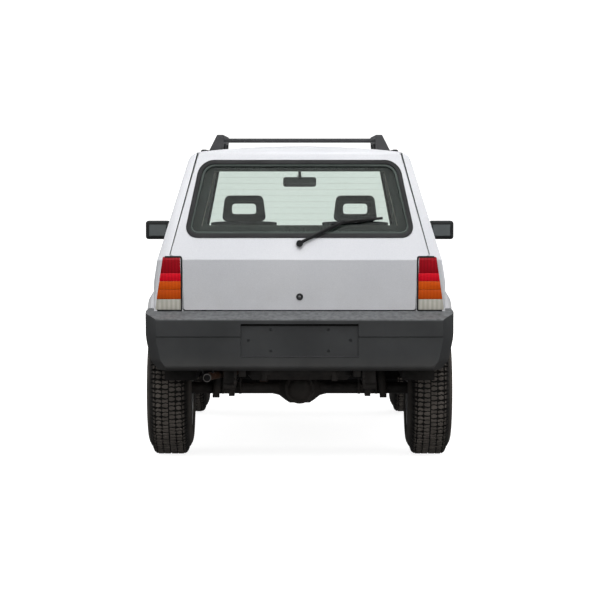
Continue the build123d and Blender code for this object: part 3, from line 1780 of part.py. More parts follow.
with BuildPart() as headrests:
    for side in (-1, 1):
        center = side * seat_x
        add(
            section_prism(
                [
                    (center - headrest_half, headrest_low_z),
                    (center - headrest_half + headrest_taper, headrest_high_z),
                    (center + headrest_half - headrest_taper, headrest_high_z),
                    (center + headrest_half, headrest_low_z),
                ],
                headrest_y - headrest_half_depth,
                headrest_y + headrest_half_depth,
                28,
            )
        )
        add(
            section_prism(
                [
                    (center - headrest_hole_half, headrest_hole_low_z),
                    (center - headrest_hole_half, headrest_hole_high_z),
                    (center + headrest_hole_half, headrest_hole_high_z),
                    (center + headrest_hole_half, headrest_hole_low_z),
                ],
                headrest_y - headrest_half_depth - 1,
                headrest_y + headrest_half_depth + 1,
                14,
            ),
            mode=Mode.SUBTRACT,
        )
        for edge in (-1, 1):
            x = center + edge * 60
            add(
                rod(
                    (x, headrest_y, seat_back_top_z - 40),
                    (x, headrest_y, headrest_low_z + 20),
                    6,
                )
            )
    add(front_seats.part, mode=Mode.SUBTRACT)

rear_back_y = boot_step_y + 40
rear_cushion_z = 640
rear_back_top_z = 1000
rear_seat_outline = [
    (rear_seat_y, floor_top_z + rear_base_height),
    (rear_seat_y, rear_cushion_z),
    (rear_back_y, rear_cushion_z - 20),
    (rear_back_y - 110, rear_back_top_z),
    (rear_back_y - 190, rear_back_top_z),
    (rear_back_y - 100, boot_floor_z + floor_thickness),
    (boot_step_y + 2, boot_floor_z + floor_thickness),
    (boot_step_y + 2, floor_top_z + rear_base_height),
]
with BuildPart() as rear_seat:
    add(
        side_prism(
            rear_seat_outline,
            -rear_seat_half_width,
            rear_seat_half_width,
            [20, 40, 30, 36, 36, 0, 0, 0],
        )
    )

room_mirror_drop = 93
room_mirror_z = screen_top_z - room_mirror_drop
room_mirror_half_width = 92
room_mirror_half_height = 27
room_mirror_half_depth = 11
room_mirror_y = screen_y(room_mirror_z, screen_wall) - 46
mirror_base_z = screen_top_z + 22
mirror_base_y = screen_y(mirror_base_z, screen_wall)
with BuildPart() as interior_mirror:
    add(
        block(
            -room_mirror_half_width,
            room_mirror_half_width,
            room_mirror_y - room_mirror_half_depth,
            room_mirror_y + room_mirror_half_depth,
            room_mirror_z - room_mirror_half_height,
            room_mirror_z + room_mirror_half_height,
        )
    )
    fillet(interior_mirror.edges().filter_by(Axis.Y), radius=14)
    add(rod((0, room_mirror_y, room_mirror_z + 12), (0, mirror_base_y - 20, mirror_base_z), 8))
    add(block(-26, 26, mirror_base_y - 66, mirror_base_y - 8, mirror_base_z - 6, mirror_base_z + 42))
    add(shell, mode=Mode.SUBTRACT)
    add(
        block(-far_x, far_x, tail_y, nose_y, roof_crown_z - roof_wall - 20, high_z) - cabin,
        mode=Mode.SUBTRACT,
    )

# ---------------------------------------------------------------- outside fittings
rack_rise = 89
rack_top_z = roof_edge_z + rack_rise
rack_foot_z = roof_edge_z - 4
rack_foot_outer_x = 449
rack_foot_inner_x = 379
rack_top_outer_x = 403
rack_top_inner_x = 369
rack_rear_y = tailgate_front_y + 42
rack_length = 1000
rack_front_y = rack_rear_y + rack_length
rack_bar_depth = 40
rack_outline = [
    (rack_rear_y, rack_foot_z),
    (rack_rear_y + 30, rack_top_z),
    (rack_front_y - 120, rack_top_z),
    (rack_front_y, rack_foot_z),
]
rack_section = [
    (rack_foot_inner_x, rack_foot_z - 20),
    (rack_foot_outer_x, rack_foot_z),
    (rack_top_outer_x, rack_top_z),
    (rack_top_inner_x, rack_top_z),
]
rail_slots = [
    (rack_rear_y + 100, rack_rear_y + 0.48 * rack_length),
    (rack_rear_y + 0.54 * rack_length, rack_front_y - 140),
]
bar_z = rack_top_z - 27
bar_rise = 6
bar_radius = 9
bar_places = ((rack_rear_y + 70, bar_z), (rack_front_y - 190, bar_z + bar_rise))
with BuildPart() as rail_right:
    add(side_prism(rack_outline, 0, far_x, [0, 20, 60, 0]))
    add(section_prism(rack_section, tail_y, nose_y, [0, 0, 6, 6]), mode=Mode.INTERSECT)
    slot_top_z = rack_top_z - rack_bar_depth
    for low, high in rail_slots:
        slot = [(low, 0), (low, slot_top_z), (high, slot_top_z), (high, 0)]
        add(side_prism(slot, 0, far_x, [0, 16, 16, 0]), mode=Mode.SUBTRACT)
    add(outer, mode=Mode.SUBTRACT)
with BuildPart() as roof_rack:
    add(rail_right.part)
    add(mirrored(rail_right.part))
    for y, z in bar_places:
        add(rod((-rack_top_inner_x - 8, y, z), (rack_top_inner_x + 8, y, z), bar_radius))

wiper_foot_z = screen_low_z - 8
wiper_foot_places = (-330, 120)
wiper_foot_radius = 13
blade_lift = 12
blade_radius = 5
blade_foot_rise = 26
blade_rise = 74
blade_run = 330
elbow_run = 60
elbow_rise = 22
elbow_lift = 20


def on_screen(x, rise, lift=blade_lift):
    """A point just outside the windscreen's plane, a height above the wipers' feet."""
    z = wiper_foot_z + rise
    return (x, screen_y(z) + lift, z)


with BuildPart() as front_wipers:
    for x in wiper_foot_places:
        blade_low = on_screen(x + 30, blade_foot_rise)
        blade_high = on_screen(x - blade_run, blade_rise)
        middle = tuple((low + high) / 2 for low, high in zip(blade_low, blade_high))
        add(rod(on_screen(x, -6, 4), on_screen(x, 4, 16), wiper_foot_radius))
        elbow = on_screen(x - elbow_run, elbow_rise, elbow_lift)
        add(pipe([on_screen(x, 0), elbow, middle], wiper_tube_radius))
        add(rod(blade_low, blade_high, blade_radius))
    add(cowl_panel.part, mode=Mode.SUBTRACT)
    add(fixed_glass.part, mode=Mode.SUBTRACT)

tow_eye_radius = 22
tow_eye_hole_radius = 13
tow_eye_z = 400
tow_eye_thickness = 12
tow_shank_width = 24
with BuildPart() as tow_eyes:
    for side in (-1, 1):
        x = side * rail_inner_x
        y = tail_bottom_y + 30
        with BuildSketch(Plane.YZ.offset(x - tow_eye_thickness / 2)):
            with Locations((y, tow_eye_z)):
                Circle(tow_eye_radius)
                Circle(tow_eye_hole_radius, mode=Mode.SUBTRACT)
            with Locations((y, (tow_eye_z + tow_eye_hole_radius + body_bottom_z + 2) / 2)):
                Rectangle(tow_shank_width, body_bottom_z + 2 - tow_eye_z - tow_eye_hole_radius)
        extrude(amount=tow_eye_thickness)
    add(outer, mode=Mode.SUBTRACT)

for name, builder in {
    "floor_pan": floor_pan,
    "side_panel_right": side_panel_right,
    "side_panel_left": side_panel_left,
    "roof_panel": roof_panel,
    "rear_panel": rear_panel,
    "front_wings": front_wings,
    "bonnet": bonnet,
    "cowl_panel": cowl_panel,
    "nose_panel": nose_panel,
    "headlamps": headlamps,
    "grille": grille,
    "front_structure": front_structure,
    "engine_block": engine_block,
    "gearbox": gearbox,
    "rear_axle": rear_axle,
    "rear_springs": rear_springs,
    "propshaft": propshaft,
    "fuel_tank": fuel_tank,
    "exhaust": exhaust,
    "front_suspension": front_suspension,
    "knuckle_front_right": knuckle_front_right,
    "knuckle_front_left": knuckle_front_left,
    "rim_front_right": rim_front_right,
    "rim_rear_right": rim_rear_right,
    "rim_front_left": rim_front_left,
    "rim_rear_left": rim_rear_left,
    "tyre_front_right": tyre_front_right,
    "tyre_rear_right": tyre_rear_right,
    "tyre_front_left": tyre_front_left,
    "tyre_rear_left": tyre_rear_left,
    "door_right": door_right,
    "door_left": door_left,
    "door_glass_right": door_glass_right,
    "door_glass_left": door_glass_left,
    "mirror_right": mirror_right,
    "mirror_left": mirror_left,
    "tailgate": tailgate,
    "tailgate_glass": tailgate_glass,
    "rear_wiper": rear_wiper,
    "tail_lamps": tail_lamps,
    "tail_lenses": tail_lenses,
    "fixed_glass": fixed_glass,
    "rear_bumper": rear_bumper,
    "front_bumper": front_bumper,
    "front_indicators": front_indicators,
    "dashboard": dashboard,
    "steering_wheel": steering_wheel,
    "steering_column": steering_column,
    "controls": controls,
    "seat_frames": seat_frames,
    "front_seats": front_seats,
    "headrests": headrests,
    "rear_seat": rear_seat,
    "interior_mirror": interior_mirror,
    "roof_rack": roof_rack,
    "front_wipers": front_wipers,
    "bay_parts": bay_parts,
    "tow_eyes": tow_eyes,
}.items():
    builder.part.label = name
    export_step(builder.part, f"parts/{name}.step")
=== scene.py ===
# %% [markdown]
# # A small four-wheel-drive hatchback, dressed for the studio
# The car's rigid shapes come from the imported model. This notebook gives every one of them a real
# finish, and adds what a CAD model leaves out: tread, rubber seals, lamp lenses, fabric seats and
# the small fittings of the cabin and the underside. All lengths are metres.

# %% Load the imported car
import math

import bmesh
import bpy
from mathutils import Matrix, Vector


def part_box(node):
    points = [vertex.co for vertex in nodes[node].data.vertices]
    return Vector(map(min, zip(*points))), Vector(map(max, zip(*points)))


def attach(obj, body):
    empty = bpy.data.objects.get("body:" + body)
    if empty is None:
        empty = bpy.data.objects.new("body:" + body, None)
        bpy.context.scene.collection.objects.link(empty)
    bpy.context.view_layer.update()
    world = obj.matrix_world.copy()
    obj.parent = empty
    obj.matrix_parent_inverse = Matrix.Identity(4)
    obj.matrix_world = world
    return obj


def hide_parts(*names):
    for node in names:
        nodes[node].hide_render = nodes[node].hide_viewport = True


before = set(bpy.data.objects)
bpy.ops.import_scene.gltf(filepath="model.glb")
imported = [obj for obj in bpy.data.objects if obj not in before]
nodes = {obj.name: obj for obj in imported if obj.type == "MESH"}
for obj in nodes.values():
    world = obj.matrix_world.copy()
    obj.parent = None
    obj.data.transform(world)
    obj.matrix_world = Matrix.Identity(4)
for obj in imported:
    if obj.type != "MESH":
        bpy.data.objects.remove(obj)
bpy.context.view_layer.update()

# %% [markdown]
# ## Studio
# A cyclorama is a floor that curves up into a wall, so that no horizon line shows. This one goes
# all the way round and closes overhead, so the car can be looked at from any side. Its profile is
# a line that is spun once round the upright axis. The camera stands well back with a long lens,
# as for a catalogue picture. One wide softbox above and behind does most of the lighting, and
# weaker ones fill in the front and both sides.

# %% Cyclorama
def outline_from(points, closed=False):
    """A bmesh with one line of edges through the points."""
    shape = bmesh.new()
    verts = [shape.verts.new(point) for point in points]
    for start, end in zip(verts, verts[1:] + (verts[:1] if closed else [])):
        shape.edges.new((start, end))
    return shape


floor_radius, cove_radius, room_height = 20.0, 6.0, 24.0
turn = [math.radians(step * 9) for step in range(11)]
room_line = [(0, 0, 0)] + [
    (floor_radius + cove_radius * math.sin(a), 0, cove_radius * (1 - math.cos(a))) for a in turn
] + [(floor_radius + cove_radius, 0, room_height * 0.7), (floor_radius * 0.7, 0, room_height),
     (0, 0, room_height)]
backdrop_shape = outline_from(room_line)
bmesh.ops.spin(backdrop_shape, geom=backdrop_shape.verts[:] + backdrop_shape.edges[:], axis=(0, 0, 1),
               cent=(0, 0, 0), angle=2 * math.pi, steps=48, use_merge=True)
bmesh.ops.remove_doubles(backdrop_shape, verts=backdrop_shape.verts, dist=0.001)
bmesh.ops.recalc_face_normals(backdrop_shape, faces=backdrop_shape.faces)
bmesh.ops.reverse_faces(backdrop_shape, faces=backdrop_shape.faces)
backdrop_mesh = bpy.data.meshes.new("backdrop")
backdrop_shape.to_mesh(backdrop_mesh)
backdrop_shape.free()
backdrop_mesh.shade_smooth()
backdrop = bpy.data.objects.new("backdrop", backdrop_mesh)
bpy.context.collection.objects.link(backdrop)
backdrop.visible_diffuse = False
backdrop.visible_glossy = False
print("backdrop faces:", len(backdrop_mesh.polygons))

# %% Camera and lights
camera_data = bpy.data.cameras.new("camera")
camera_data.sensor_width = 36.0
camera_data.lens = 146.4
camera_data.clip_end = 100
camera = bpy.data.objects.new("camera", camera_data)
camera.location = (0.002, -13.31, 1.403)
camera.rotation_euler = (math.radians(90 - 2.97), 0, 0)
bpy.context.collection.objects.link(camera)
bpy.context.scene.camera = camera


def softbox(name, place, aim, size, power):
    """A square area light at a place, turned to shine at a point."""
    lamp = bpy.data.lights.new(name, "AREA")
    lamp.size = size
    lamp.energy = power
    light = bpy.data.objects.new(name, lamp)
    light.location = place
    light.rotation_euler = (Vector(aim) - Vector(place)).to_track_quat("-Z", "Y").to_euler()
    light.visible_glossy = False
    light.visible_transmission = False
    bpy.context.collection.objects.link(light)


softbox("overhead", (0, -5.2, 6.2), (0, -1.0, 0.9), 5.5, 570)
softbox("behind_camera", (-3.5, -13.0, 5.0), (0, -1, 0.8), 6.0, 175)
softbox("fill", (5.0, -10.0, 1.2), (0, -1, 0.8), 2.2, 230)
softbox("front_fill", (3.0, 10.0, 4.5), (0, 1, 0.8), 5.0, 560)
softbox("right_side", (11.0, 0.5, 5.0), (0, 0, 0.8), 5.0, 420)
softbox("left_side", (-11.0, 0.5, 5.0), (0, 0, 0.8), 5.0, 420)
world = bpy.data.worlds.new("studio")
world.use_nodes = True
sky = world.node_tree
sky_height = sky.nodes.new("ShaderNodeSeparateXYZ")
sky_ramp = sky.nodes.new("ShaderNodeMapRange")
sky.links.new(sky.nodes.new("ShaderNodeTexCoord").outputs["Generated"], sky_height.inputs[0])
sky.links.new(sky_height.outputs["Z"], sky_ramp.inputs["Value"])
for socket, value in (("From Min", -0.6), ("From Max", 0.8), ("To Min", 0.10), ("To Max", 0.62)):
    sky_ramp.inputs[socket].default_value = value
sky.links.new(sky_ramp.outputs["Result"], sky.nodes["Background"].inputs["Strength"])
sky.nodes["Background"].inputs["Color"].default_value = (1.0, 1.0, 1.0, 1.0)
bpy.context.scene.world = world
bpy.context.scene.view_settings.view_transform = "Standard"
print("camera distance:", round(camera.location.length, 2))

# %% [markdown]
# ## Finishes
# A finish starts from what the real surface is and how it was made. Colours are written as the
# hex codes that a paint chart gives and turned to linear light by one function. Patterns are
# sized in millimetres on Object coordinates, so they stay put when a panel moves. Stripes are
# the exception in size: their cycle is 2 pi times the number written for them.

# %% Tools for materials
def hex_colour(code, alpha=1.0):
    """Linear RGBA from an sRGB hex code."""
    parts = [int(code[i:i + 2], 16) / 255 for i in (0, 2, 4)]
    return (*[p / 12.92 if p <= 0.04045 else ((p + 0.055) / 1.055) ** 2.4 for p in parts], alpha)


def add_node(tree, kind, inputs=None, **settings):
    """Adds a shader node; an input that is a socket is linked, any other is a plain value."""
    node = tree.nodes.new("ShaderNode" + kind)
    for name, value in settings.items():
        setattr(node, name, value)
    for name, value in (inputs or {}).items():
        if isinstance(value, bpy.types.NodeSocket):
            tree.links.new(value, node.inputs[name])
        else:
            node.inputs[name].default_value = value
    return node


def per_mm(size_mm):
    """The noise scale at which one cell is this many millimetres long."""
    return 1000.0 / size_mm


def empty_finish(name):
    """A material with only its output, ready for nodes, and its object coordinates."""
    finish = bpy.data.materials.new(name)
    finish.use_nodes = True
    tree = finish.node_tree
    tree.nodes.clear()
    return finish, tree, add_node(tree, "TexCoord").outputs["Object"]


def close_principled(tree, inputs):
    """Ends a finish with one Principled shader."""
    add_node(tree, "OutputMaterial", {"Surface": add_node(tree, "BsdfPrincipled", inputs).outputs["BSDF"]})


def mixed(tree, amount, first, second):
    """The first colour going over to the second as the amount goes from 0 to 1."""
    return add_node(tree, "Mix", {0: amount, 6: first, 7: second}, data_type="RGBA").outputs[2]


def stripes(tree, where, size, way, **inputs):
    """Soft stripes. Along an axis their cycle is 2 * pi * size millimetres, 25 mm for a size of 4."""
    inputs.update({"Vector": where, "Scale": per_mm(size) / 20})
    return add_node(tree, "TexWave", inputs, wave_type="BANDS", bands_direction=way).outputs["Fac"]


def remapped(tree, value, from_low, from_high, to_low, to_high):
    """A number moved from one range to another."""
    return add_node(tree, "MapRange", {"Value": value, "From Min": from_low, "From Max": from_high,
                                       "To Min": to_low, "To Max": to_high}).outputs["Result"]


def blotched(tree, where, size_mm, dark, light, low=0.35, high=0.65, detail=4.0):
    """A colour that wanders between two hex colours in soft patches of a real size."""
    cloud = add_node(tree, "TexNoise", {"Vector": where, "Scale": per_mm(size_mm), "Detail": detail})
    ramp = add_node(tree, "ValToRGB", {"Fac": cloud.outputs["Fac"]})
    ramp.color_ramp.elements[0].position = low
    ramp.color_ramp.elements[1].position = high
    ramp.color_ramp.elements[0].color = hex_colour(dark)
    ramp.color_ramp.elements[1].color = hex_colour(light)
    return ramp.outputs["Color"]


def spread(tree, where, size_mm, low, high, detail=3.0):
    """A number that wanders between two values in patches of a real size."""
    cloud = add_node(tree, "TexNoise", {"Vector": where, "Scale": per_mm(size_mm), "Detail": detail})
    return remapped(tree, cloud.outputs["Fac"], 0.3, 0.7, low, high)


def grain(tree, where, size_mm, depth_mm, strength=0.5, detail=3.0, after=None):
    """A bump normal of fine grain, after an optional earlier bump."""
    cloud = add_node(tree, "TexNoise", {"Vector": where, "Scale": per_mm(size_mm), "Detail": detail})
    inputs = {"Height": cloud.outputs["Fac"], "Strength": strength, "Distance": depth_mm / 1000}
    if after is not None:
        inputs["Normal"] = after
    return add_node(tree, "Bump", inputs).outputs["Normal"]


def tinted_low(tree, where, colour, low_tint, low_z, high_z, most):
    """A second colour over a colour, strongest at low_z and gone at high_z, broken up by noise: road dust on
    the bumper, wheels and underside, and a darker, browner tone towards the bottom on the lacquer.
    """
    height = add_node(tree, "SeparateXYZ", {"Vector": where}).outputs["Z"]
    fade = remapped(tree, height, low_z, high_z, most, 0.0)
    cloud = add_node(tree, "TexNoise", {"Vector": where, "Scale": per_mm(90), "Detail": 6.0})
    amount = add_node(tree, "Math", {0: fade, 1: cloud.outputs["Fac"]}, operation="MULTIPLY")
    return mixed(tree, amount.outputs["Value"], colour, hex_colour(low_tint))


def paper_sweep():
    """Matt white paper that glows a little, so that the studio stays pale round a dark car."""
    finish, tree, where = empty_finish("paper_sweep")
    paper = blotched(tree, where, 900.0, "A4A4A3", "A9A9A8")
    reach = add_node(tree, "VectorMath", {0: where}, operation="LENGTH").outputs["Value"]
    glow = remapped(tree, reach, 2.0, 8.0, 0.89, 1.0)
    close_principled(tree, {
        "Base Color": paper, "Roughness": 0.95, "Emission Color": hex_colour("FFFFFF"),
        "Emission Strength": glow, "Normal": grain(tree, where, 8.0, 0.1),
    })
    return finish


backdrop_mesh.materials.append(paper_sweep())
print("material tools ready")

# %% [markdown]
# Silver car lacquer is a base coat with fine aluminium flake under clear lacquer. Flake is far too
# small to show at this distance, so it is drawn about 3 mm wide and faint. The clear coat has a
# slow orange-peel ripple, and the paint turns darker and browner towards the bottom, below the crease.

# %% Silver lacquer
def silver_lacquer():
    finish, tree, where = empty_finish("silver_lacquer")
    base = blotched(tree, where, 3.0, "BFC0C4", "CBCCCF", 0.3, 0.7, 2.0)
    fade = blotched(tree, where, 420.0, "F2F3F5", "FFFFFF")
    toned = add_node(tree, "Mix", {0: 0.6, 6: base, 7: fade}, data_type="RGBA", blend_type="MULTIPLY")
    # The lacquer is darkened and browned from the crease down to the sills, so it is darker towards the
    # bottom.
    darker_towards_bottom = tinted_low(tree, where, toned.outputs[2], "8C8780", 0.55, 0.98, 0.5)
    peel = grain(tree, where, 14.0, 0.05, 0.35, 1.0)
    close_principled(tree, {
        "Base Color": darker_towards_bottom, "Metallic": 0.25, "Roughness": spread(tree, where, 60.0, 0.34, 0.44),
        "Coat Weight": 0.5, "Coat Roughness": 0.12, "Normal": peel,
    })
    return finish


lacquer = silver_lacquer()
print(lacquer.name, len(lacquer.node_tree.nodes), "nodes")

# %% [markdown]
# Most of the dark surfaces differ only in colour, grain and sheen: polypropylene bumpers, rubber
# seals, powder-coated steel and underseal. One recipe with real sizes covers them. What the eye
# reads is the grain's depth and how wide the highlight is.

# %% Moulded, coated and rubber surfaces
def even_surface(name, dark, light, patch_mm, grain_mm, grain_depth_mm, rough, low_tint=None, **shader):
    """A plain man-made surface: two close colours in patches, a grain, and perhaps dust low down."""
    finish, tree, where = empty_finish(name)
    colour = blotched(tree, where, patch_mm, dark, light)
    if low_tint:
        colour = tinted_low(tree, where, colour, *low_tint)
    inputs = {
        "Base Color": colour,
        "Roughness": spread(tree, where, patch_mm * 0.6, *rough),
        "Normal": grain(tree, where, grain_mm, grain_depth_mm),
    }
    inputs.update(shader)
    close_principled(tree, inputs)
    return finish


def bleached_and_top_lit_polypropylene():
    """Grained black plastic, grey and blotchy where it faces up: partly fading from sun and rain, partly a
    painted highlight from the light above.
    """
    finish, tree, where = empty_finish("grained_polypropylene")
    colour = tinted_low(tree, where, blotched(tree, where, 240.0, "232425", "2B2C2D"), "6B655D", 0.44, 0.54, 0.2)
    faded_and_lit_grey = blotched(tree, where, 20.0, "434445", "646668", 0.3, 0.7)
    # Painted light with real fading: faces turned upward are mixed towards pale grey, the more so the more
    # they face up.
    facing = add_node(tree, "SeparateXYZ", {"Vector": add_node(tree, "NewGeometry").outputs["Normal"]})
    upward = remapped(tree, facing.outputs["Z"], 0.25, 0.7, 0.0, 0.85)
    close_principled(tree, {
        "Base Color": mixed(tree, upward, colour, faded_and_lit_grey), "Roughness": spread(tree, where, 140.0, 0.5, 0.64),
        "Normal": grain(tree, where, 1.6, 0.25),
    })
    return finish


grained_polypropylene = bleached_and_top_lit_polypropylene()
smooth_black_abs = even_surface("smooth_black_abs", "131415", "1A1B1C", 160, 2.4, 0.1, (0.38, 0.5))
window_rubber = even_surface("window_rubber", "1C1C1D", "252526", 120, 1.2, 0.12, (0.42, 0.58))
powder_coated_steel = even_surface("powder_coated_steel", "252527", "2F2F31", 150, 1.5, 0.2, (0.5, 0.65))
underseal = even_surface(
    "underseal", "121110", "1D1B1A", 70, 5.0, 0.9, (0.7, 0.9), ("3A332C", 0.12, 0.5, 0.35)
)
chassis_enamel = even_surface(
    "chassis_enamel", "1A1918", "292624", 60, 3.0, 0.5, (0.55, 0.8), ("443B32", 0.15, 0.5, 0.4)
)
cast_aluminium = even_surface(
    "cast_aluminium", "6A6865", "827F7B", 50, 2.0, 0.5, (0.45, 0.65), Metallic=0.6
)
wheel_enamel = even_surface(
    "wheel_enamel", "8E9092", "A4A6A7", 90, 2.0, 0.06, (0.3, 0.48), ("6E6458", 0.0, 0.6, 0.5)
)
cabin_plastic = even_surface("cabin_plastic", "232526", "2C2E2F", 180, 1.4, 0.3, (0.5, 0.65))
cabin_lining = even_surface("cabin_lining", "3A413E", "454C49", 220, 2.2, 0.4, (0.75, 0.9))
zinc_plating = even_surface("zinc_plating", "8F8D86", "A9A79E", 12, 1.0, 0.03, (0.3, 0.45), Metallic=1.0)
bright_chrome = even_surface("bright_chrome", "C9CACC", "D6D7D8", 40, 6.0, 0.01, (0.08, 0.16), Metallic=1.0)
turned_steel = even_surface("turned_steel", "7D7B78", "949190", 30, 1.2, 0.05, (0.28, 0.42), Metallic=1.0)
print("even surfaces:", grained_polypropylene.name, "...", turned_steel.name)

# %% [markdown]
# A used exhaust is mild steel gone brown. Rust sits in patches a thumb wide over grey scale.

# %% Rusted exhaust steel
def rusted_steel():
    finish, tree, where = empty_finish("rusted_exhaust_steel")
    scale = blotched(tree, where, 30.0, "3A322C", "5B5048")
    rust = blotched(tree, where, 14.0, "4A2E20", "66412D")
    patch = spread(tree, where, 55.0, 0.0, 1.0, 5.0)
    colour = mixed(tree, patch, scale, rust)
    close_principled(tree, {
        "Base Color": colour, "Metallic": 0.45, "Roughness": spread(tree, where, 25.0, 0.45, 0.8),
        "Normal": grain(tree, where, 4.0, 0.4),
    })
    return finish


exhaust_steel = rusted_steel()
# Near-black finish for painted shade: the shadow strip in the plate recess and, with real soot, the exhaust's
# bore.
soot_and_shade_black = even_surface("soot_and_shade_black", "050505", "0B0A0A", 12, 2.0, 0.4, (0.85, 0.98))
print(exhaust_steel.name)

# %% [markdown]
# Tyre tread is unpolished rubber, warm black. Painted shade darkens its grooves: the colour follows
# the depth below the tread, which is the distance from the wheel's axis, so each wheel has its own centre.

# %% Tyre rubber
def tread_rubber(name, axle, radius):
    finish, tree, where = empty_finish(name)
    near = add_node(tree, "VectorMath", {0: where, 1: axle}, operation="SUBTRACT")
    flat = add_node(tree, "VectorMath", {0: near.outputs[0], 1: (0, 1, 1)}, operation="MULTIPLY")
    reach = add_node(tree, "VectorMath", {0: flat.outputs[0]}, operation="LENGTH").outputs["Value"]
    depth = remapped(tree, reach, radius - 0.009, radius - 0.001, 0.0, 1.0)
    rubber = blotched(tree, where, 35.0, "4A4642", "59544F")
    # Painted shade: the groove floors are painted near black, darker than the tread tops.
    groove = blotched(tree, where, 20.0, "0E0D0C", "191715")
    side = remapped(tree, reach, radius - 0.05, radius - 0.03, 1.0, 0.0)
    wall = blotched(tree, where, 60.0, "332F2D", "423E3A")
    colour = mixed(tree, side, mixed(tree, depth, groove, rubber), wall)
    close_principled(tree, {
        "Base Color": colour, "Roughness": spread(tree, where, 30.0, 0.72, 0.92),
        "Specular IOR Level": 0.35, "Normal": grain(tree, where, 2.0, 0.35),
    })
    return finish


print("tyre rubber ready")

# %% [markdown]
# The windows are toughened glass with a faint green cast. The tint is darker than plain window
# glass: by its colour alone one pane passes about three quarters of the light and two in a row
# about three fifths. A trace of wiped dust keeps the surface from looking empty.

# %% Window glass and lamp plastics
def window_glass():
    finish, tree, where = empty_finish("toughened_glass")
    tint = blotched(tree, where, 500.0, "DDE4E0", "E0E7E3")
    close_principled(tree, {
        "Base Color": tint, "Roughness": spread(tree, where, 140.0, 0.0, 0.02),
        "Transmission Weight": 1.0, "IOR": 1.45,
    })
    return finish


def ribbed_lens(name, dark, light, rib, depth_mm, see_through=0.0, across="X"):
    """Moulded acrylic with fine optical ribs on its inside, which read as soft stripes."""
    finish, tree, where = empty_finish(name)
    ribs = stripes(tree, where, rib, across, Distortion=0.0)
    bump = add_node(tree, "Bump", {"Height": ribs, "Strength": 0.4,
                                   "Distance": depth_mm / 1000})
    rows = stripes(tree, where, rib * 2.2, "Z", Distortion=0.0)
    both = add_node(tree, "Bump", {"Height": rows, "Strength": 0.35,
                                   "Distance": depth_mm / 1000, "Normal": bump.outputs["Normal"]})
    cloud = add_node(tree, "TexNoise", {"Vector": where, "Scale": per_mm(38), "Detail": 3.0})
    blend = add_node(tree, "Math", {0: cloud.outputs["Fac"], 1: ribs}, operation="MULTIPLY")
    colour = mixed(tree, blend.outputs[0], hex_colour(dark), hex_colour(light))
    close_principled(tree, {
        "Base Color": colour, "Roughness": spread(tree, where, 30.0, 0.3, 0.42),
        "Transmission Weight": see_through, "IOR": 1.4, "Specular IOR Level": 0.3,
        "Normal": both.outputs["Normal"],
    })
    return finish


glass = window_glass()
brake_red = ribbed_lens("brake_red_acrylic", "7A0410", "9C0A1C", 2.5, 0.2)
tail_red = ribbed_lens("tail_red_acrylic", "A80518", "C90A22", 2.5, 0.2)
turn_amber = ribbed_lens("turn_amber_acrylic", "A63F04", "BE4C08", 2.5, 0.2)
deep_amber = ribbed_lens("deep_amber_acrylic", "9A3A04", "AE4506", 2.5, 0.2)
clear_acrylic = ribbed_lens("clear_acrylic", "8A8880", "ABA9A1", 3.5, 0.3)
headlamp_glass = ribbed_lens("fluted_headlamp_glass", "B9BDBE", "E2E5E5", 9.0, 0.8, 0.35)
silvered_mirror = even_surface(
    "tinted_mirror_glass", "55595A", "5F6364", 220, 30.0, 0.005, (0.18, 0.26), Metallic=0.25
)
print("lens plastics ready")

# %% [markdown]
# Seat fabric is a flat-woven cloth of two crossed sets of threads, far too fine to show at this
# distance. They are drawn as soft bands about 19 to 25 mm apart, much coarser than real threads,
# and a sheen gives the soft rim that woven cloth has.

# %% Woven seat cloth
def woven_cloth(name, dark, light, thread):
    finish, tree, where = empty_finish(name)
    warp, weft = [stripes(tree, where, thread, way, Distortion=0.6, Detail=1.0) for way in ("X", "DIAGONAL")]
    weave = add_node(tree, "Math", {0: warp, 1: weft}, operation="MULTIPLY")
    base = blotched(tree, where, 90.0, dark, light)
    shaded = mixed(tree, weave.outputs[0], base, hex_colour(light))
    bump = add_node(tree, "Bump", {"Height": weave.outputs[0], "Strength": 0.5, "Distance": 0.0006})
    close_principled(tree, {
        "Base Color": shaded, "Roughness": spread(tree, where, 70.0, 0.82, 0.95),
        "Sheen Weight": 0.06, "Sheen Roughness": 0.5, "Normal": bump.outputs["Normal"],
    })
    return finish


seat_cloth = woven_cloth("woven_seat_cloth", "353B3D", "42484A", 4.0)
side_cloth = woven_cloth("seat_side_cloth", "34393B", "3F4446", 3.0)
print("cloth ready")

# %% [markdown]
# ## The car's own panels
# The CAD nodes keep their shapes. Pressed steel and moulded plastic never end in a knife edge,
# so each hard panel gets a small rounding: the loose triangles are welded, flat areas are
# dissolved to single faces, and the remaining corners are bevelled. The crowned roof is dissolved
# far less, because faces joined across its curve would shade in wedges.

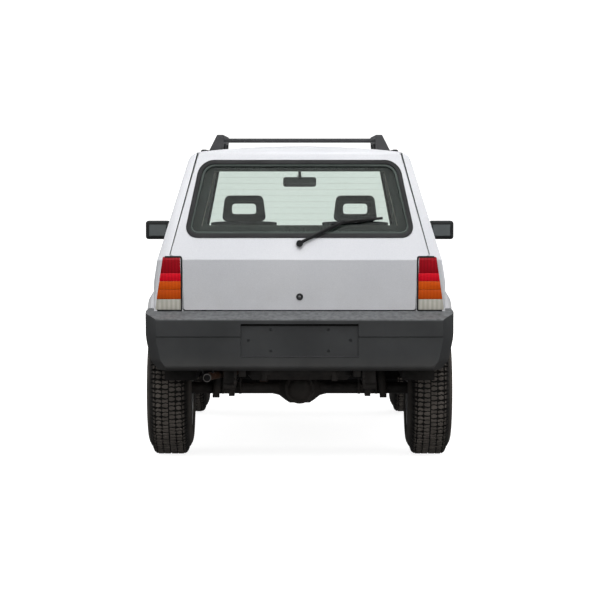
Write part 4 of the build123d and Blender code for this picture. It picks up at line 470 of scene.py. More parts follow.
# %% Give every node its finish
wheels = ("front_right", "front_left", "rear_right", "rear_left")
finish_of = {
    lacquer: ["side_panel_right", "side_panel_left", "roof_panel", "rear_panel", "front_wings", "bonnet",
              "nose_panel", "door_right", "door_left", "tailgate"],
    grained_polypropylene: ["rear_bumper", "front_bumper", "cowl_panel"],
    smooth_black_abs: ["mirror_right", "mirror_left", "grille", "interior_mirror", "tail_lamps", "rear_wiper",
                       "front_wipers"],
    powder_coated_steel: ["roof_rack"],
    underseal: ["floor_pan", "front_structure"],
    chassis_enamel: ["rear_axle", "rear_springs", "propshaft", "fuel_tank", "front_suspension", "tow_eyes",
                     "knuckle_front_right", "knuckle_front_left", "seat_frames", "bay_parts"],
    cast_aluminium: ["engine_block", "gearbox"],
    exhaust_steel: ["exhaust"],
    wheel_enamel: ["rim_" + wheel for wheel in wheels],
    glass: ["fixed_glass", "tailgate_glass", "door_glass_right", "door_glass_left"],
    tail_red: ["tail_lenses"],
    headlamp_glass: ["headlamps"],
    turn_amber: ["front_indicators"],
    cabin_plastic: ["dashboard", "steering_column", "steering_wheel", "controls"],
    seat_cloth: ["front_seats", "headrests", "rear_seat"],
    window_rubber: ["tyre_" + wheel for wheel in wheels],
}
for finish, names in finish_of.items():
    for name in names:
        slots = nodes[name].data.materials
        slots.clear()
        slots.append(finish)
unfinished = set(nodes) - {name for names in finish_of.values() for name in names}
print("nodes without a finish:", sorted(unfinished))


edge_rounding = 0.0022
sharp_angle = 28


def softened(name, flat):
    """Rounds the hard edges of a CAD node with modifiers; faces within flat degrees are joined first."""
    node = nodes[name]
    weld = node.modifiers.new("weld", "WELD")
    weld.merge_threshold = 0.00002
    planar = node.modifiers.new("planar", "DECIMATE")
    planar.decimate_type = "DISSOLVE"
    planar.angle_limit = math.radians(flat)
    edge = node.modifiers.new("edge", "BEVEL")
    edge.width = edge_rounding
    edge.segments = 2
    edge.limit_method = "ANGLE"
    edge.angle_limit = math.radians(sharp_angle)
    edge.harden_normals = True


for name in ["rear_bumper", "front_bumper", "roof_rack", "tailgate", "side_panel_right", "side_panel_left",
             "door_right", "door_left", "front_wings", "bonnet", "nose_panel"]:
    softened(name, 1.5)
softened("roof_panel", 0.15)
print("softened panels ready")

# %% [markdown]
# ## Helpers for new pieces
# Every new piece is shaped in a bmesh, then handed over once: its normals are made to agree, its
# hard edges are marked, and it rides on the body that really carries it.

# %% Hand over a finished shape
def finished(shape, name, body, finish, sharp=35, agree=True):
    """Turns a bmesh into an object that rides on a body of the car."""
    if agree:
        bmesh.ops.remove_doubles(shape, verts=shape.verts, dist=0.00001)
        bmesh.ops.recalc_face_normals(shape, faces=shape.faces)
    mesh = bpy.data.meshes.new(name)
    shape.to_mesh(mesh)
    shape.free()
    mesh.shade_smooth()
    mesh.set_sharp_from_angle(angle=math.radians(sharp))
    for one in finish if isinstance(finish, list) else [finish]:
        mesh.materials.append(one)
    piece = bpy.data.objects.new(name, mesh)
    bpy.context.collection.objects.link(piece)
    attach(piece, body)
    return piece


def copy_of(name):
    """A bmesh with a CAD node's shape, its loose triangles joined."""
    shape = bmesh.new()
    shape.from_mesh(nodes[name].data)
    bmesh.ops.remove_doubles(shape, verts=shape.verts, dist=0.00002)
    return shape


def joined(*shapes):
    """Adds later shapes to the first and returns it."""
    first = shapes[0]
    for other in shapes[1:]:
        spare = bpy.data.meshes.new("spare")
        other.to_mesh(spare)
        first.from_mesh(spare)
        other.free()
        bpy.data.meshes.remove(spare)
    return first


def everything(shape):
    """All the parts of a shape, for operators that want them in one list."""
    return shape.verts[:] + shape.edges[:] + shape.faces[:]


def bevelled(shape, edges, offset, segments=3):
    """Rounds edges of a shape."""
    bmesh.ops.bevel(shape, geom=edges, offset=offset, segments=segments, profile=0.5, affect="EDGES",
                    material=-1)
    return shape


def raised_by(shape, faces, move):
    """Extrudes faces along a vector and returns what the extrusion made."""
    made = bmesh.ops.extrude_face_region(shape, geom=faces)["geom"]
    bmesh.ops.translate(shape, vec=Vector(move), verts=[v for v in made if isinstance(v, bmesh.types.BMVert)])
    return made


def kept_between(shape, low_z, high_z):
    """Cuts away what lies below one height and above another."""
    for height, above in ((low_z, False), (high_z, True)):
        bmesh.ops.bisect_plane(shape, geom=everything(shape), dist=0.000001, plane_co=(0, 0, height),
                               plane_no=(0, 0, 1), clear_outer=above, clear_inner=not above)
    return shape


def mirrored_pair(shape):
    """A shape and its mirror image across the car."""
    kept = shape.copy()
    bmesh.ops.scale(kept, vec=(-1, 1, 1), verts=kept.verts)
    bmesh.ops.reverse_faces(kept, faces=kept.faces)
    return joined(shape, kept)


def soft_box(low, high, radius, segments=3):
    """A block between two corners with rounded edges."""
    shape = bmesh.new()
    bmesh.ops.create_cube(shape, size=1.0)
    size = Vector(high) - Vector(low)
    bmesh.ops.scale(shape, vec=size, verts=shape.verts)
    bmesh.ops.translate(shape, vec=(Vector(low) + Vector(high)) / 2, verts=shape.verts)
    return bevelled(shape, shape.edges[:], min(radius, min(size) * 0.49), segments)


def turned(profile, steps=32):
    """Spins an open (radius, height) profile round the Z axis and closes its poles."""
    shape = outline_from([(radius, 0.0, height) for radius, height in profile])
    bmesh.ops.spin(shape, geom=shape.verts[:] + shape.edges[:], axis=(0, 0, 1), cent=(0, 0, 0),
                   angle=2 * math.pi, steps=steps, use_merge=True)
    bmesh.ops.remove_doubles(shape, verts=shape.verts, dist=0.000005)
    return shape


def aimed(shape, place, along):
    """Turns a shape made along Z to look along a direction, and puts it in its place."""
    turn = Vector(along).to_track_quat("Z", "Y").to_matrix().to_4x4()
    bmesh.ops.transform(shape, matrix=Matrix.Translation(place) @ turn, verts=shape.verts)
    return shape


def bar(points, radius, sides=10, closed=False):
    """A round bar through points, made by a bevelled curve that is turned into a mesh."""
    curve = bpy.data.curves.new("bar", "CURVE")
    curve.dimensions = "3D"
    curve.bevel_depth = radius
    curve.bevel_resolution = max(1, sides // 4 - 1)
    curve.use_fill_caps = True
    line = curve.splines.new("POLY")
    line.points.add(len(points) - 1)
    for spot, point in zip(line.points, points):
        spot.co = (*point, 1.0)
    line.use_cyclic_u = closed
    carrier = bpy.data.objects.new("bar", curve)
    mesh = bpy.data.meshes.new_from_object(carrier)
    shape = bmesh.new()
    shape.from_mesh(mesh)
    bpy.data.objects.remove(carrier)
    bpy.data.curves.remove(curve)
    bpy.data.meshes.remove(mesh)
    return shape


def outer_edges(shape, out, turn=0.8):
    """The sharp edges that bound the faces looking along a direction."""
    shape.normal_update()
    return [e for e in shape.edges if len(e.link_faces) == 2 and e.calc_face_angle(0) > turn
            and any(f.normal.dot(out) > 0.8 for f in e.link_faces)]


def ring_from(shape, face, width, height, out, edge_share=0.42):
    """Keeps a border of a flat face and raises it into a strip with rounded upper edges."""
    bmesh.ops.inset_individual(shape, faces=[face], thickness=width, use_even_offset=True)
    bmesh.ops.delete(shape, geom=[face], context="FACES")
    raised_by(shape, shape.faces[:], Vector(out) * height)
    bmesh.ops.recalc_face_normals(shape, faces=shape.faces)
    return bevelled(shape, outer_edges(shape, out), min(width, height) * edge_share)


def rounded_plate(corners, radius, segments=8):
    """One flat face in the XY plane with rounded corners."""
    shape = bmesh.new()
    shape.faces.new([shape.verts.new((x, y, 0)) for x, y in corners])
    bmesh.ops.bevel(shape, geom=shape.verts[:], offset=radius, segments=segments, profile=0.5,
                    affect="VERTICES", material=-1)
    shape.normal_update()
    if shape.faces[:][0].normal.z < 0:
        bmesh.ops.reverse_faces(shape, faces=shape.faces)
    return shape


def rounded_frame(corners, radius, width, height, segments=8):
    """A flat ring with rounded corners in the XY plane, raised along Z."""
    shape = rounded_plate(corners, radius, segments)
    return ring_from(shape, shape.faces[:][0], width, height, (0, 0, 1))


def laid_on(shape, origin, across, up):
    """Moves a flat shape from the XY plane to a plane of the car, Z pointing outwards."""
    side = Vector(across).normalized()
    rise = Vector(up).normalized()
    out = side.cross(rise)
    place = Matrix((side, rise, out)).transposed().to_4x4()
    place.translation = Vector(origin)
    bmesh.ops.transform(shape, matrix=place, verts=shape.verts)
    return shape


print("helpers ready")

# %% [markdown]
# ## Planes of the body
# The tailgate and the windows lie in leaning planes, so the trim pieces are made flat and laid on
# those planes. Where a plane starts comes from the tailgate's box. Its slope, the crease's height
# and the shoulder's width are the same sizes as in the CAD model, written again here.

# %% Measure the leaning planes
tail_low, tail_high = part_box("tailgate")
car_roof_z = tail_high[2]
tail_run = 0.140 / 0.510
lower_run = 34 / 250
crease_z = 0.990
side_lean = math.radians(16.87)
shoulder_x = 0.681
tail_out = Vector((0, -1, tail_run)).normalized()
tail_up = Vector((0, tail_run, 1)).normalized()


def tail_skin_y(z):
    """Where the tailgate's skin is at a height."""
    if z < crease_z:
        return tail_low[1] + (crease_z - z) * lower_run
    return tail_low[1] + (z - crease_z) * tail_run


def side_skin_x(z):
    """Half width of the upper body side at a height."""
    return shoulder_x - (z - crease_z) * math.tan(side_lean)


def roof_skin_z(x):
    """Height of the roof at a distance from the middle."""
    return car_roof_z - 0.031 * (x / side_skin_x(1.503)) ** 2


print("tail slope:", round(tail_run, 4), " roof:", round(car_roof_z, 3))

# %% [markdown]
# ## Tyres
# An all-terrain tyre has a smooth carcass and blocks of tread about 9 mm deep: on each side two
# columns of interlocking blocks and one of shoulder lugs. One pitch of the pattern is modelled
# flat, as a tread mould is drawn, then wrapped over the crown and shoulder, and repeated round
# the wheel by a spin with duplicates. That keeps each block to a few dozen faces.

# %% Flat tread pattern, one pitch
tyre_low, tyre_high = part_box("tyre_rear_right")
tyre_radius = (tyre_high[2] - tyre_low[2]) / 2
pitches = 44
pitch_mm = 2 * math.pi * tyre_radius * 1000 / pitches
centre_blocks = [
    [(3, -21), (13, -24), (29, -20), (33, -11), (25, -5), (14, -2), (3, -5)],
    [(3, 1), (14, 4), (27, 1), (32, 6), (29, 18), (16, 15), (3, 18)],
    [(38, -17), (50, -22), (63, -17), (62, -5), (51, 0), (44, -4), (37, -6)],
    [(36, 3), (44, 3), (52, 7), (62, 3), (64, 14), (53, 19), (40, 15), (35, 11)],
]
shoulder_lugs = [
    [(69, -21), (82, -24), (103, -23), (103, -4), (84, -2), (74, -5), (68, -6)],
    [(67, 2), (76, 4), (86, 6), (103, 5), (103, 16), (84, 15), (72, 14)],
]


def flat_block(shape, outline, side, shift, depth=0.0085):
    """A tread block as it would be cut from flat rubber, with chamfered upper edges."""
    corners = [(side * across / 1000, (along + shift) / 1000, -depth - 0.002) for across, along in outline]
    face = shape.faces.new([shape.verts.new(corner) for corner in corners])
    raised = raised_by(shape, [face], (0, 0, depth + 0.002))
    bevelled(shape, [e for e in raised if isinstance(e, bmesh.types.BMEdge)], 0.0011, 1)


tread = bmesh.new()
for side, shift in ((1, 0.0), (-1, pitch_mm * 0.29)):
    for block in centre_blocks:
        flat_block(tread, block, side, shift)
    for lug in shoulder_lugs:
        flat_block(tread, lug, side, shift + 5.0)
for across in (50, 62, 69, 76, 83, 90, 97):
    for side in (-1, 1):
        bmesh.ops.bisect_plane(tread, geom=everything(tread), plane_co=(side * across / 1000, 0, 0),
                               plane_no=(1, 0, 0), dist=0.00001)
print("faces in one pitch:", len(tread.faces))

# %% Wrap the pattern and spin it
crown_half, shoulder_arc = 0.058, 0.030
shoulder_turn = math.radians(72)


def wrapped(flat):
    """Bends a point of the flat pattern over the crown and down the shoulder."""
    side = 1 if flat.x >= 0 else -1
    across = abs(flat.x)
    turn = min(max(0.0, across - crown_half) / shoulder_arc, shoulder_turn)
    over = max(0.0, across - crown_half - shoulder_arc * shoulder_turn)
    reach = shoulder_arc + flat.z
    x = min(across, crown_half) + reach * math.sin(turn) + over * math.cos(turn)
    radius = tyre_radius - shoulder_arc + reach * math.cos(turn) - over * math.sin(turn)
    swing = flat.y / tyre_radius
    return Vector((side * x, radius * math.sin(swing), radius * math.cos(swing)))


for vert in tread.verts:
    vert.co = wrapped(vert.co)
bmesh.ops.spin(tread, geom=everything(tread), axis=(1, 0, 0), cent=(0, 0, 0),
               angle=2 * math.pi * (pitches - 1) / pitches, steps=pitches - 1, use_duplicate=True)
print("faces in one tyre's tread:", len(tread.faces))

# %% [markdown]
# The carcass is one closed section spun round the wheel: bead, bulging sidewall with a rim
# protector and two fine rings, shoulder, crown, and the liner inside.

# %% Carcass
half_section = [
    (0.0, 0.3212), (0.050, 0.3208), (0.066, 0.3172), (0.076, 0.3100), (0.083, 0.3030), (0.0905, 0.2940),
    (0.0925, 0.2935), (0.0990, 0.2850), (0.0985, 0.2835), (0.1055, 0.2720), (0.1098, 0.2560),
    (0.1100, 0.2440), (0.1075, 0.2310), (0.1085, 0.2290), (0.1065, 0.2230), (0.1040, 0.2215),
    (0.1000, 0.2130), (0.0950, 0.2060), (0.0935, 0.1912), (0.0800, 0.1912), (0.0870, 0.2150),
    (0.0960, 0.2500), (0.0860, 0.2820), (0.0600, 0.3000), (0.0, 0.3040),
]
section = half_section + [(-across, radius) for across, radius in half_section[-2:0:-1]]
carcass = outline_from([(across, 0.0, radius) for across, radius in section], closed=True)
bmesh.ops.spin(carcass, geom=carcass.verts[:] + carcass.edges[:], axis=(1, 0, 0), cent=(0, 0, 0),
               angle=2 * math.pi, steps=96, use_merge=True)
print("faces in the carcass:", len(carcass.faces))

# %% Fit a tyre to each wheel
bmesh.ops.recalc_face_normals(tread, faces=tread.faces)
bmesh.ops.recalc_face_normals(carcass, faces=carcass.faces)
whole_tyre = joined(carcass, tread)
for index, wheel in enumerate(wheels):
    low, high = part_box("tyre_" + wheel)
    axle = Vector([(a + b) / 2 for a, b in zip(low, high)])
    one = whole_tyre.copy()
    bmesh.ops.rotate(one, verts=one.verts, cent=(0, 0, 0), matrix=Matrix.Rotation(index * 1.3, 3, "X"))
    bmesh.ops.translate(one, verts=one.verts, vec=axle)
    rubber = tread_rubber("tread_rubber_" + wheel, (0.0, axle.y, axle.z), tyre_radius)
    piece = finished(one, "treaded_tyre_" + wheel, "wheel_" + wheel, rubber, sharp=30, agree=False)
    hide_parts("tyre_" + wheel)
whole_tyre.free()
print("tyres fitted")

# %% [markdown]
# ## Tail lamps
# Each lens is one moulding in five colours, welded edge to edge: dark red, bright red, two ambers
# and clear. The CAD lens is sliced at the weld heights, every slice is closed, and its rim is
# rounded so that a fine dark line shows between colours. The black gasket round the lens is a
# raised border on the rear face of each side.

# %% Slice the lenses
lens_low, lens_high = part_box("tail_lenses")
lens_steps = [0.0, 0.052, 0.098, 0.139, 0.178, lens_high[2] - lens_low[2]]
lens_names = ["clear", "deep_amber", "amber", "red", "dark_red"]
lens_finishes = [clear_acrylic, deep_amber, turn_amber, tail_red, brake_red]
lens_slots = ["lamp_clear", "lamp_amber", "lamp_amber", "lamp_red", "lamp_red"]


def slice_between(name, low_z, high_z, edge):
    """The part of a node between two heights, closed again and with its edges rounded."""
    shape = kept_between(copy_of(name), low_z, high_z)
    bmesh.ops.holes_fill(shape, edges=[e for e in shape.edges if e.is_boundary], sides=0)
    bmesh.ops.dissolve_limit(shape, angle_limit=0.03, verts=shape.verts, edges=shape.edges)
    shape.normal_update()
    sharp = [e for e in shape.edges if len(e.link_faces) == 2 and e.calc_face_angle(0) > 0.7]
    return bevelled(shape, sharp, edge, 2)


for part, finish, slot, low, high in zip(lens_names, lens_finishes, lens_slots, lens_steps, lens_steps[1:]):
    shape = slice_between("tail_lenses", lens_low[2] + low + 0.0004, lens_low[2] + high - 0.0004, 0.0012)
    finished(shape, "tail_lens_" + part, "body", finish)
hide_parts("tail_lenses")

# %% Black gasket round each lens
gasket_corners = [(0.5626, 0.7415), (0.6932, 0.7415), (0.6525, 1.0085), (0.5626, 1.0085)]
gasket_low_z = 0.748
gasket = rounded_frame([(x, z - gasket_low_z) for x, z in gasket_corners], 0.009, 0.0075, 0.0032, 3)
(foot_x, foot_z), (head_x, head_z) = gasket_corners[1:3]
bmesh.ops.bisect_plane(gasket, geom=everything(gasket), dist=0.000001,
                       plane_co=(foot_x - 0.0078, foot_z - gasket_low_z, 0),
                       plane_no=Vector((head_z - foot_z, foot_x - head_x, 0)), clear_outer=True)
bmesh.ops.holes_fill(gasket, edges=[e for e in gasket.edges if e.is_boundary], sides=0)
for corner in gasket.verts:
    z = gasket_low_z + corner.co.y
    face_y = tail_skin_y(z) - 0.0006
    corner.co = Vector((corner.co.x, face_y - corner.co.z, z))
gasket = mirrored_pair(gasket)
finished(gasket, "tail_lamp_gaskets", "body", smooth_black_abs)
print("gaskets at", round(lens_low[1], 4))

# %% [markdown]
# ## Window seals
# The glass is held by a rubber strip with a rounded outer lip. On the tailgate the strip is a
# wide one with large corners, so it is drawn flat as a ring and laid on the tailgate's plane,
# with a thin black lip inside it. The other panes get a ring that follows the pane's own outline.

# %% Tailgate window seal
seal_middle_z = 1.281
seal_length = math.hypot(1, tail_run)


def on_tail_plane(shape, lift):
    """Lays a flat shape on the upper tailgate, its origin at the middle of the window."""
    origin = Vector((0, tail_skin_y(seal_middle_z), seal_middle_z)) + tail_out * lift
    return laid_on(shape, origin, (1, 0, 0), tail_up)


def tail_corners(low_half, high_half, low_z, high_z):
    """Four corners on the tailgate's plane from half widths and heights."""
    low = (low_z - seal_middle_z) * seal_length
    high = (high_z - seal_middle_z) * seal_length
    return [(-low_half, low), (low_half, low), (high_half, high), (-high_half, high)]


seal = on_tail_plane(rounded_frame(tail_corners(0.557, 0.479, 1.094, 1.468), 0.068, 0.0215, 0.0062), -0.0012)
finished(seal, "tailgate_window_seal", "tailgate", window_rubber)
lip = on_tail_plane(rounded_frame(tail_corners(0.537, 0.459, 1.113, 1.449), 0.052, 0.0125, 0.0136), -0.0135)
finished(lip, "tailgate_window_lip", "tailgate", cabin_lining)
print("tailgate seal laid")

# %% Seals that follow a pane
def pane_outline(name, pick):
    """The outer face of one pane of a glass node, as a single flat face, and its direction."""
    shape = copy_of(name)
    bmesh.ops.delete(shape, geom=[v for v in shape.verts if not pick(v.co)], context="VERTS")
    bmesh.ops.dissolve_limit(shape, angle_limit=0.02, verts=shape.verts, edges=shape.edges)
    shape.normal_update()
    middle = Vector((0, -0.35, 0.9))
    outer = [f for f in shape.faces if f.normal.dot(f.calc_center_median() - middle) > 0]
    face = max(outer, key=lambda f: f.calc_area())
    bmesh.ops.delete(shape, geom=[f for f in shape.faces if f is not face], context="FACES")
    return shape, face, face.normal.copy()


def grown(shape, face, out, reach):
    """Moves a flat face's corners outwards in its plane."""
    corners = [loop.vert for loop in face.loops]
    moved = []
    for before, here, after in zip(corners[-1:] + corners[:-1], corners, corners[1:] + corners[:1]):
        first = (here.co - before.co).cross(out).normalized()
        second = (after.co - here.co).cross(out).normalized()
        middle = (first + second).normalized()
        moved.append(here.co + middle * reach / max(0.4, middle.dot(first)))
    for corner, place in zip(corners, moved):
        corner.co = place
    return shape


def pane_seal(title, name, pick, body, reach=0.009, width=0.019, height=0.0165):
    shape, face, out = pane_outline(name, pick)
    grown(shape, face, out, reach)
    ring = ring_from(shape, face, width, height, out, 0.25)
    finished(ring, title, body, window_rubber)


pane_seal("quarter_seal_right", "fixed_glass", lambda v: v.x > 0 and v.y < 0, "body")
pane_seal("quarter_seal_left", "fixed_glass", lambda v: v.x < 0 and v.y < 0, "body")
pane_seal("windscreen_seal", "fixed_glass", lambda v: v.y > 0, "body", 0.010, 0.024, 0.0165)
pane_seal("door_seal_right", "door_glass_right", lambda v: True, "door_right", 0.006, 0.016, 0.0155)
pane_seal("door_seal_left", "door_glass_left", lambda v: True, "door_left", 0.006, 0.016, 0.0155)
print("pane seals fitted")

# %% [markdown]
# The rear window has printed heater lines: fine conductors about 30 mm apart that join a bus bar
# on each side. They are thin strips just inside the glass.

# %% Heater lines
heater = bmesh.new()
line_count = 10
for index in range(line_count):
    share = index / (line_count - 1)
    z = 1.150 + share * 0.262
    half = 0.470 - share * 0.062
    y = tail_skin_y(z) + 0.0196
    strip = soft_box((-half, y, z - 0.0003), (half, y + 0.0004, z + 0.0003), 0.0001, 1)
    heater = joined(heater, strip)
for side in (-1, 1):
    ends = [Vector((side * half, tail_skin_y(z) + 0.0198, z)) for half, z in ((0.470, 1.150), (0.408, 1.412))]
    heater = joined(heater, bar(ends, 0.0014, 6))
finished(heater, "heater_lines", "tailgate", zinc_plating)
print("heater lines:", line_count)

# %% [markdown]
# ## Rubber in the roof groove and gutter strips
# Ahead of the tailgate's upper edge a narrow rubber lip lines the roof's side of the groove. It
# stays clear of the tailgate's edge, which turns into the groove as it opens. Over each rear
# corner a short black gutter strip runs forward beside the roof.

# %% Roof groove seal and gutter strips
groove_front_y, groove_rear_y = tail_high[1] + 0.0118, tail_high[1] + 0.0152
groove = bmesh.new()
bmesh.ops.create_grid(groove, x_segments=24, y_segments=3, size=0.5)
for corner in groove.verts:
    x = corner.co.x * 2 * 0.438
    share = corner.co.y + 0.5
    crown = 0.0012 * math.sin(math.pi * share)
    y = groove_front_y + share * (groove_rear_y - groove_front_y)
    corner.co = Vector((x, y, roof_skin_z(x) - 0.006 + crown))
bmesh.ops.recalc_face_normals(groove, faces=groove.faces)
bmesh.ops.solidify(groove, geom=groove.faces[:], thickness=0.006)
finished(groove, "roof_groove_seal", "body", window_rubber, agree=False)
gutter = soft_box((0.449, tail_high[1] + 0.016, 1.4975), (0.4805, -0.62, 1.5195), 0.009)
finished(mirrored_pair(gutter), "gutter_strips", "body", window_rubber)
print("roof rubber laid")

# %% [markdown]
# ## Tailgate lock and wiper cap
# The lock is a turned chromed barrel with a key slot in a black ring, set in the lower panel. The
# wiper's pivot gets a domed cap.

# %% Lock
lower_out = Vector((0, -1, -lower_run)).normalized()
lock_z = 0.812


def on_lower_tail(x, z, lift=0.0):
    return Vector((x, tail_skin_y(z), z)) + lower_out * lift


bezel = aimed(turned([(0.0, 0.002), (0.0075, 0.002), (0.0095, 0.0042), (0.0128, 0.0056), (0.0158, 0.0040),
                      (0.0170, 0.0), (0.0170, -0.004), (0.0, -0.004)]), on_lower_tail(0.0, lock_z), lower_out)
finished(bezel, "tailgate_lock_bezel", "tailgate", smooth_black_abs)
barrel = aimed(turned([(0.0, 0.0046), (0.0042, 0.0046), (0.0062, 0.0036), (0.0066, 0.001), (0.0, 0.001)]),
               on_lower_tail(0.0, lock_z), lower_out)
finished(barrel, "tailgate_lock_barrel", "tailgate", bright_chrome)
key_slot = soft_box((-0.0006, -0.0005, -0.0032), (0.0006, 0.0005, 0.0032), 0.0003, 1)
finished(aimed(key_slot, on_lower_tail(0.0, lock_z, 0.0047), (0, -0.3, 1)), "tailgate_key_slot", "tailgate",
         window_rubber)
print("lock at z", lock_z)

# %% Wiper pivot cap
pivot_z = 1.068
pivot = Vector((0.0, tail_skin_y(pivot_z), pivot_z))
cap = turned([(0.0, 0.0115), (0.004, 0.0112), (0.0078, 0.0088), (0.0095, 0.0052), (0.0110, 0.0015),
              (0.0145, 0.0005), (0.0145, -0.001), (0.0, -0.001)])
finished(aimed(cap, pivot + tail_out * 0.0006, tail_out), "wiper_pivot_cap", "tailgate", smooth_black_abs)
print("wiper cap fitted")

# %% [markdown]
# ## Pale strip in the tailgate's gap
# The gap round the tailgate would render as a black slot. A thin bar in the body's silver stands a
# few millimetres down in it, on the body's side, and paints light into the gap so that it reads as a
# faint grey line. It follows each side of the aperture and leaves the lid room to swing.

# %% Pale strip that paints light into the tailgate gap
# Painted light: a body-coloured bar in the gap lightens the shade of the shut line.
gap_light_paint = even_surface("gap_painted_light_strip", "AEAFB2", "BCBDC0", 60, 1.0, 0.1, (0.6, 0.75))
aperture_side = [(0.5622, 0.752), (0.5622, 0.998), (0.6210, 1.0105), (0.4905, 1.4905)]
strip = bmesh.new()
for (low_x, low_z), (high_x, high_z) in zip(aperture_side, aperture_side[1:]):
    run = Vector((high_x - low_x, 0, high_z - low_z)).normalized()
    inward = Vector((-run.z, 0, run.x))
    ends = []
    for x, z in ((low_x, low_z), (high_x, high_z)):
        ends.append(Vector((x, tail_skin_y(z) + 0.0028, z)) + inward * 0.0021)
    strip = joined(strip, bar(ends, 0.0021, 8))
finished(mirrored_pair(strip), "tailgate_gap_light_strip", "body", gap_light_paint)
print("weatherstrip laid")

# %% [markdown]
# ## Mirrors
# The glass of a mirror sits a little back inside its housing. It is cut from the housing's
# own rear face, so it follows the housing's outline with an even rim.

# %% Mirror glass
def mirror_glass(name, body):
    shape = copy_of(name)
    bmesh.ops.dissolve_limit(shape, angle_limit=0.03, verts=shape.verts, edges=shape.edges)
    shape.normal_update()
    back = max((f for f in shape.faces if f.normal.y < -0.85), key=lambda f: f.calc_area())
    bmesh.ops.delete(shape, geom=[f for f in shape.faces if f is not back], context="FACES")
    out = back.normal.copy()
    rim = shape.copy()
    rim.faces.ensure_lookup_table()
    ring = ring_from(rim, rim.faces[0], 0.0042, 0.0030, out, 0.4)
    finished(ring, name + "_rim", body, smooth_black_abs)
    bmesh.ops.inset_individual(shape, faces=[back], thickness=0.0044, use_even_offset=True)
    bmesh.ops.delete(shape, geom=[f for f in shape.faces if f is not back], context="FACES")
    raised_by(shape, shape.faces[:], out * 0.0012)
    finished(shape, name + "_glass", body, silvered_mirror)


for name, body in (("mirror_right", "door_right"), ("mirror_left", "door_left"), ("interior_mirror", "body")):
    mirror_glass(name, body)
print("mirror glass cut")

# %% [markdown]
# ## Rear bumper details
# The rear bumper has a shallow recess for the plate, fixed by six screws. Each screw is a turned
# head on a thin washer. The recess keeps a blank plate-sized face, with a near-black strip along its
# top that paints the shadow under its upper edge, and a raised lip along its bottom.

# %% Plate recess screws
bumper_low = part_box("rear_bumper")[0]
recess_mid_z = 0.6075
rear = Vector((0, -1, 0))
screw_places = [(x, recess_mid_z + dz) for x in (-0.138, 0.138) for dz in (-0.051, 0.051)]
screw_places += [(-0.244, recess_mid_z), (0.244, recess_mid_z)]
recess_face_y = bumper_low[1] + 0.014
screws = bmesh.new()
for x, z in screw_places:
    head = turned([(0.0, 0.0018), (0.0016, 0.0016), (0.0040, 0.0026), (0.0052, 0.0016), (0.0060, 0.0004),
                   (0.0074, 0.0), (0.0074, -0.002), (0.0, -0.002)], 16)
    screws = joined(screws, aimed(head, (x, recess_face_y, z), rear))
finished(screws, "plate_screws", "body", smooth_black_abs)
# Painted shadow: a near-black strip along the top of the recess stands for the shade under its upper edge.
recess_top_painted_shadow = soft_box((-0.2795, recess_face_y - 0.0012, 0.6752), (0.2795, recess_face_y + 0.002, 0.6852),
                     0.001, 2)
finished(recess_top_painted_shadow, "plate_recess_painted_shadow", "body", soot_and_shade_black)
lip_edge = soft_box((-0.281, recess_face_y - 0.0125, 0.5275), (0.281, recess_face_y - 0.004, 0.5315),
                    0.0018, 2)
finished(lip_edge, "plate_recess_lip", "body", powder_coated_steel)
print("screws:", len(screw_places))

# %% [markdown]
# The rear wiper's blade is a sprung steel bridge with claws that hold a rubber strip. The arm is
# thicker near its pivot. Arm and blade are one black piece here.

# %% Rear wiper blade and arm
def on_tail(x, z, lift):
    return Vector((x, tail_skin_y(z), z)) + tail_out * lift


blade_start, blade_end = (0.150, 1.160), (0.399, 1.189)
arm_points = [on_tail(0.0, pivot_z, 0.015), on_tail(0.060, 1.098, 0.020), on_tail(0.150, 1.141, 0.022),
              on_tail(0.217, 1.172, 0.019)]
blade = bar(arm_points[:3], 0.0062, 8)
blade = joined(blade, bar(arm_points[2:], 0.0045, 8))
blade_line = [on_tail(blade_start[0] + (blade_end[0] - blade_start[0]) * s,
                      blade_start[1] + (blade_end[1] - blade_start[1]) * s, 0.0085) for s in
              [step / 12 for step in range(13)]]
blade = joined(blade, bar(blade_line, 0.0046, 8))
bridge = [point + tail_out * (0.0075 * math.sin(math.pi * index / 8)) for index, point in
          enumerate(blade_line[2:11])]
blade = joined(blade, bar(bridge, 0.0042, 8))
for index in (2, 4, 8, 10):
    claw = [blade_line[index] + tail_up * 0.004, blade_line[index] + tail_out * 0.006,
            blade_line[index] - tail_up * 0.004]
    blade = joined(blade, bar(claw, 0.0026, 6))
finished(blade, "rear_wiper_blade", "tailgate", smooth_black_abs)
print("wiper blade fitted")

# %% [markdown]
# ## Cabin linings
# A bare steel shell would let light through the cabin in a way a trimmed car doesn't. A headlining
# hangs under the roof, and the walls get thin moulded linings that are taken from the inward faces
# of the panels themselves, so that they leave the windows open.

# %% Headlining
headliner = bmesh.new()
bmesh.ops.create_grid(headliner, x_segments=20, y_segments=24, size=0.5)
for corner in headliner.verts:
    x = corner.co.x * 2 * 0.452
    share = corner.co.y + 0.5
    y = -1.335 + share * 1.70
    ends = 0.012 * (abs(share - 0.5) * 2) ** 6
    corner.co = Vector((x, y, roof_skin_z(x) - 0.046 - ends - 0.010 * (abs(x) / 0.452) ** 6))
bmesh.ops.recalc_face_normals(headliner, faces=headliner.faces)
bmesh.ops.solidify(headliner, geom=headliner.faces[:], thickness=0.004)
finished(headliner, "headlining", "body", cabin_lining, agree=False)
print("headlining hung")

# %% Linings from inward faces
lining_thickness = 0.003
lining_low_y, lining_high_y = -1.55, 0.45


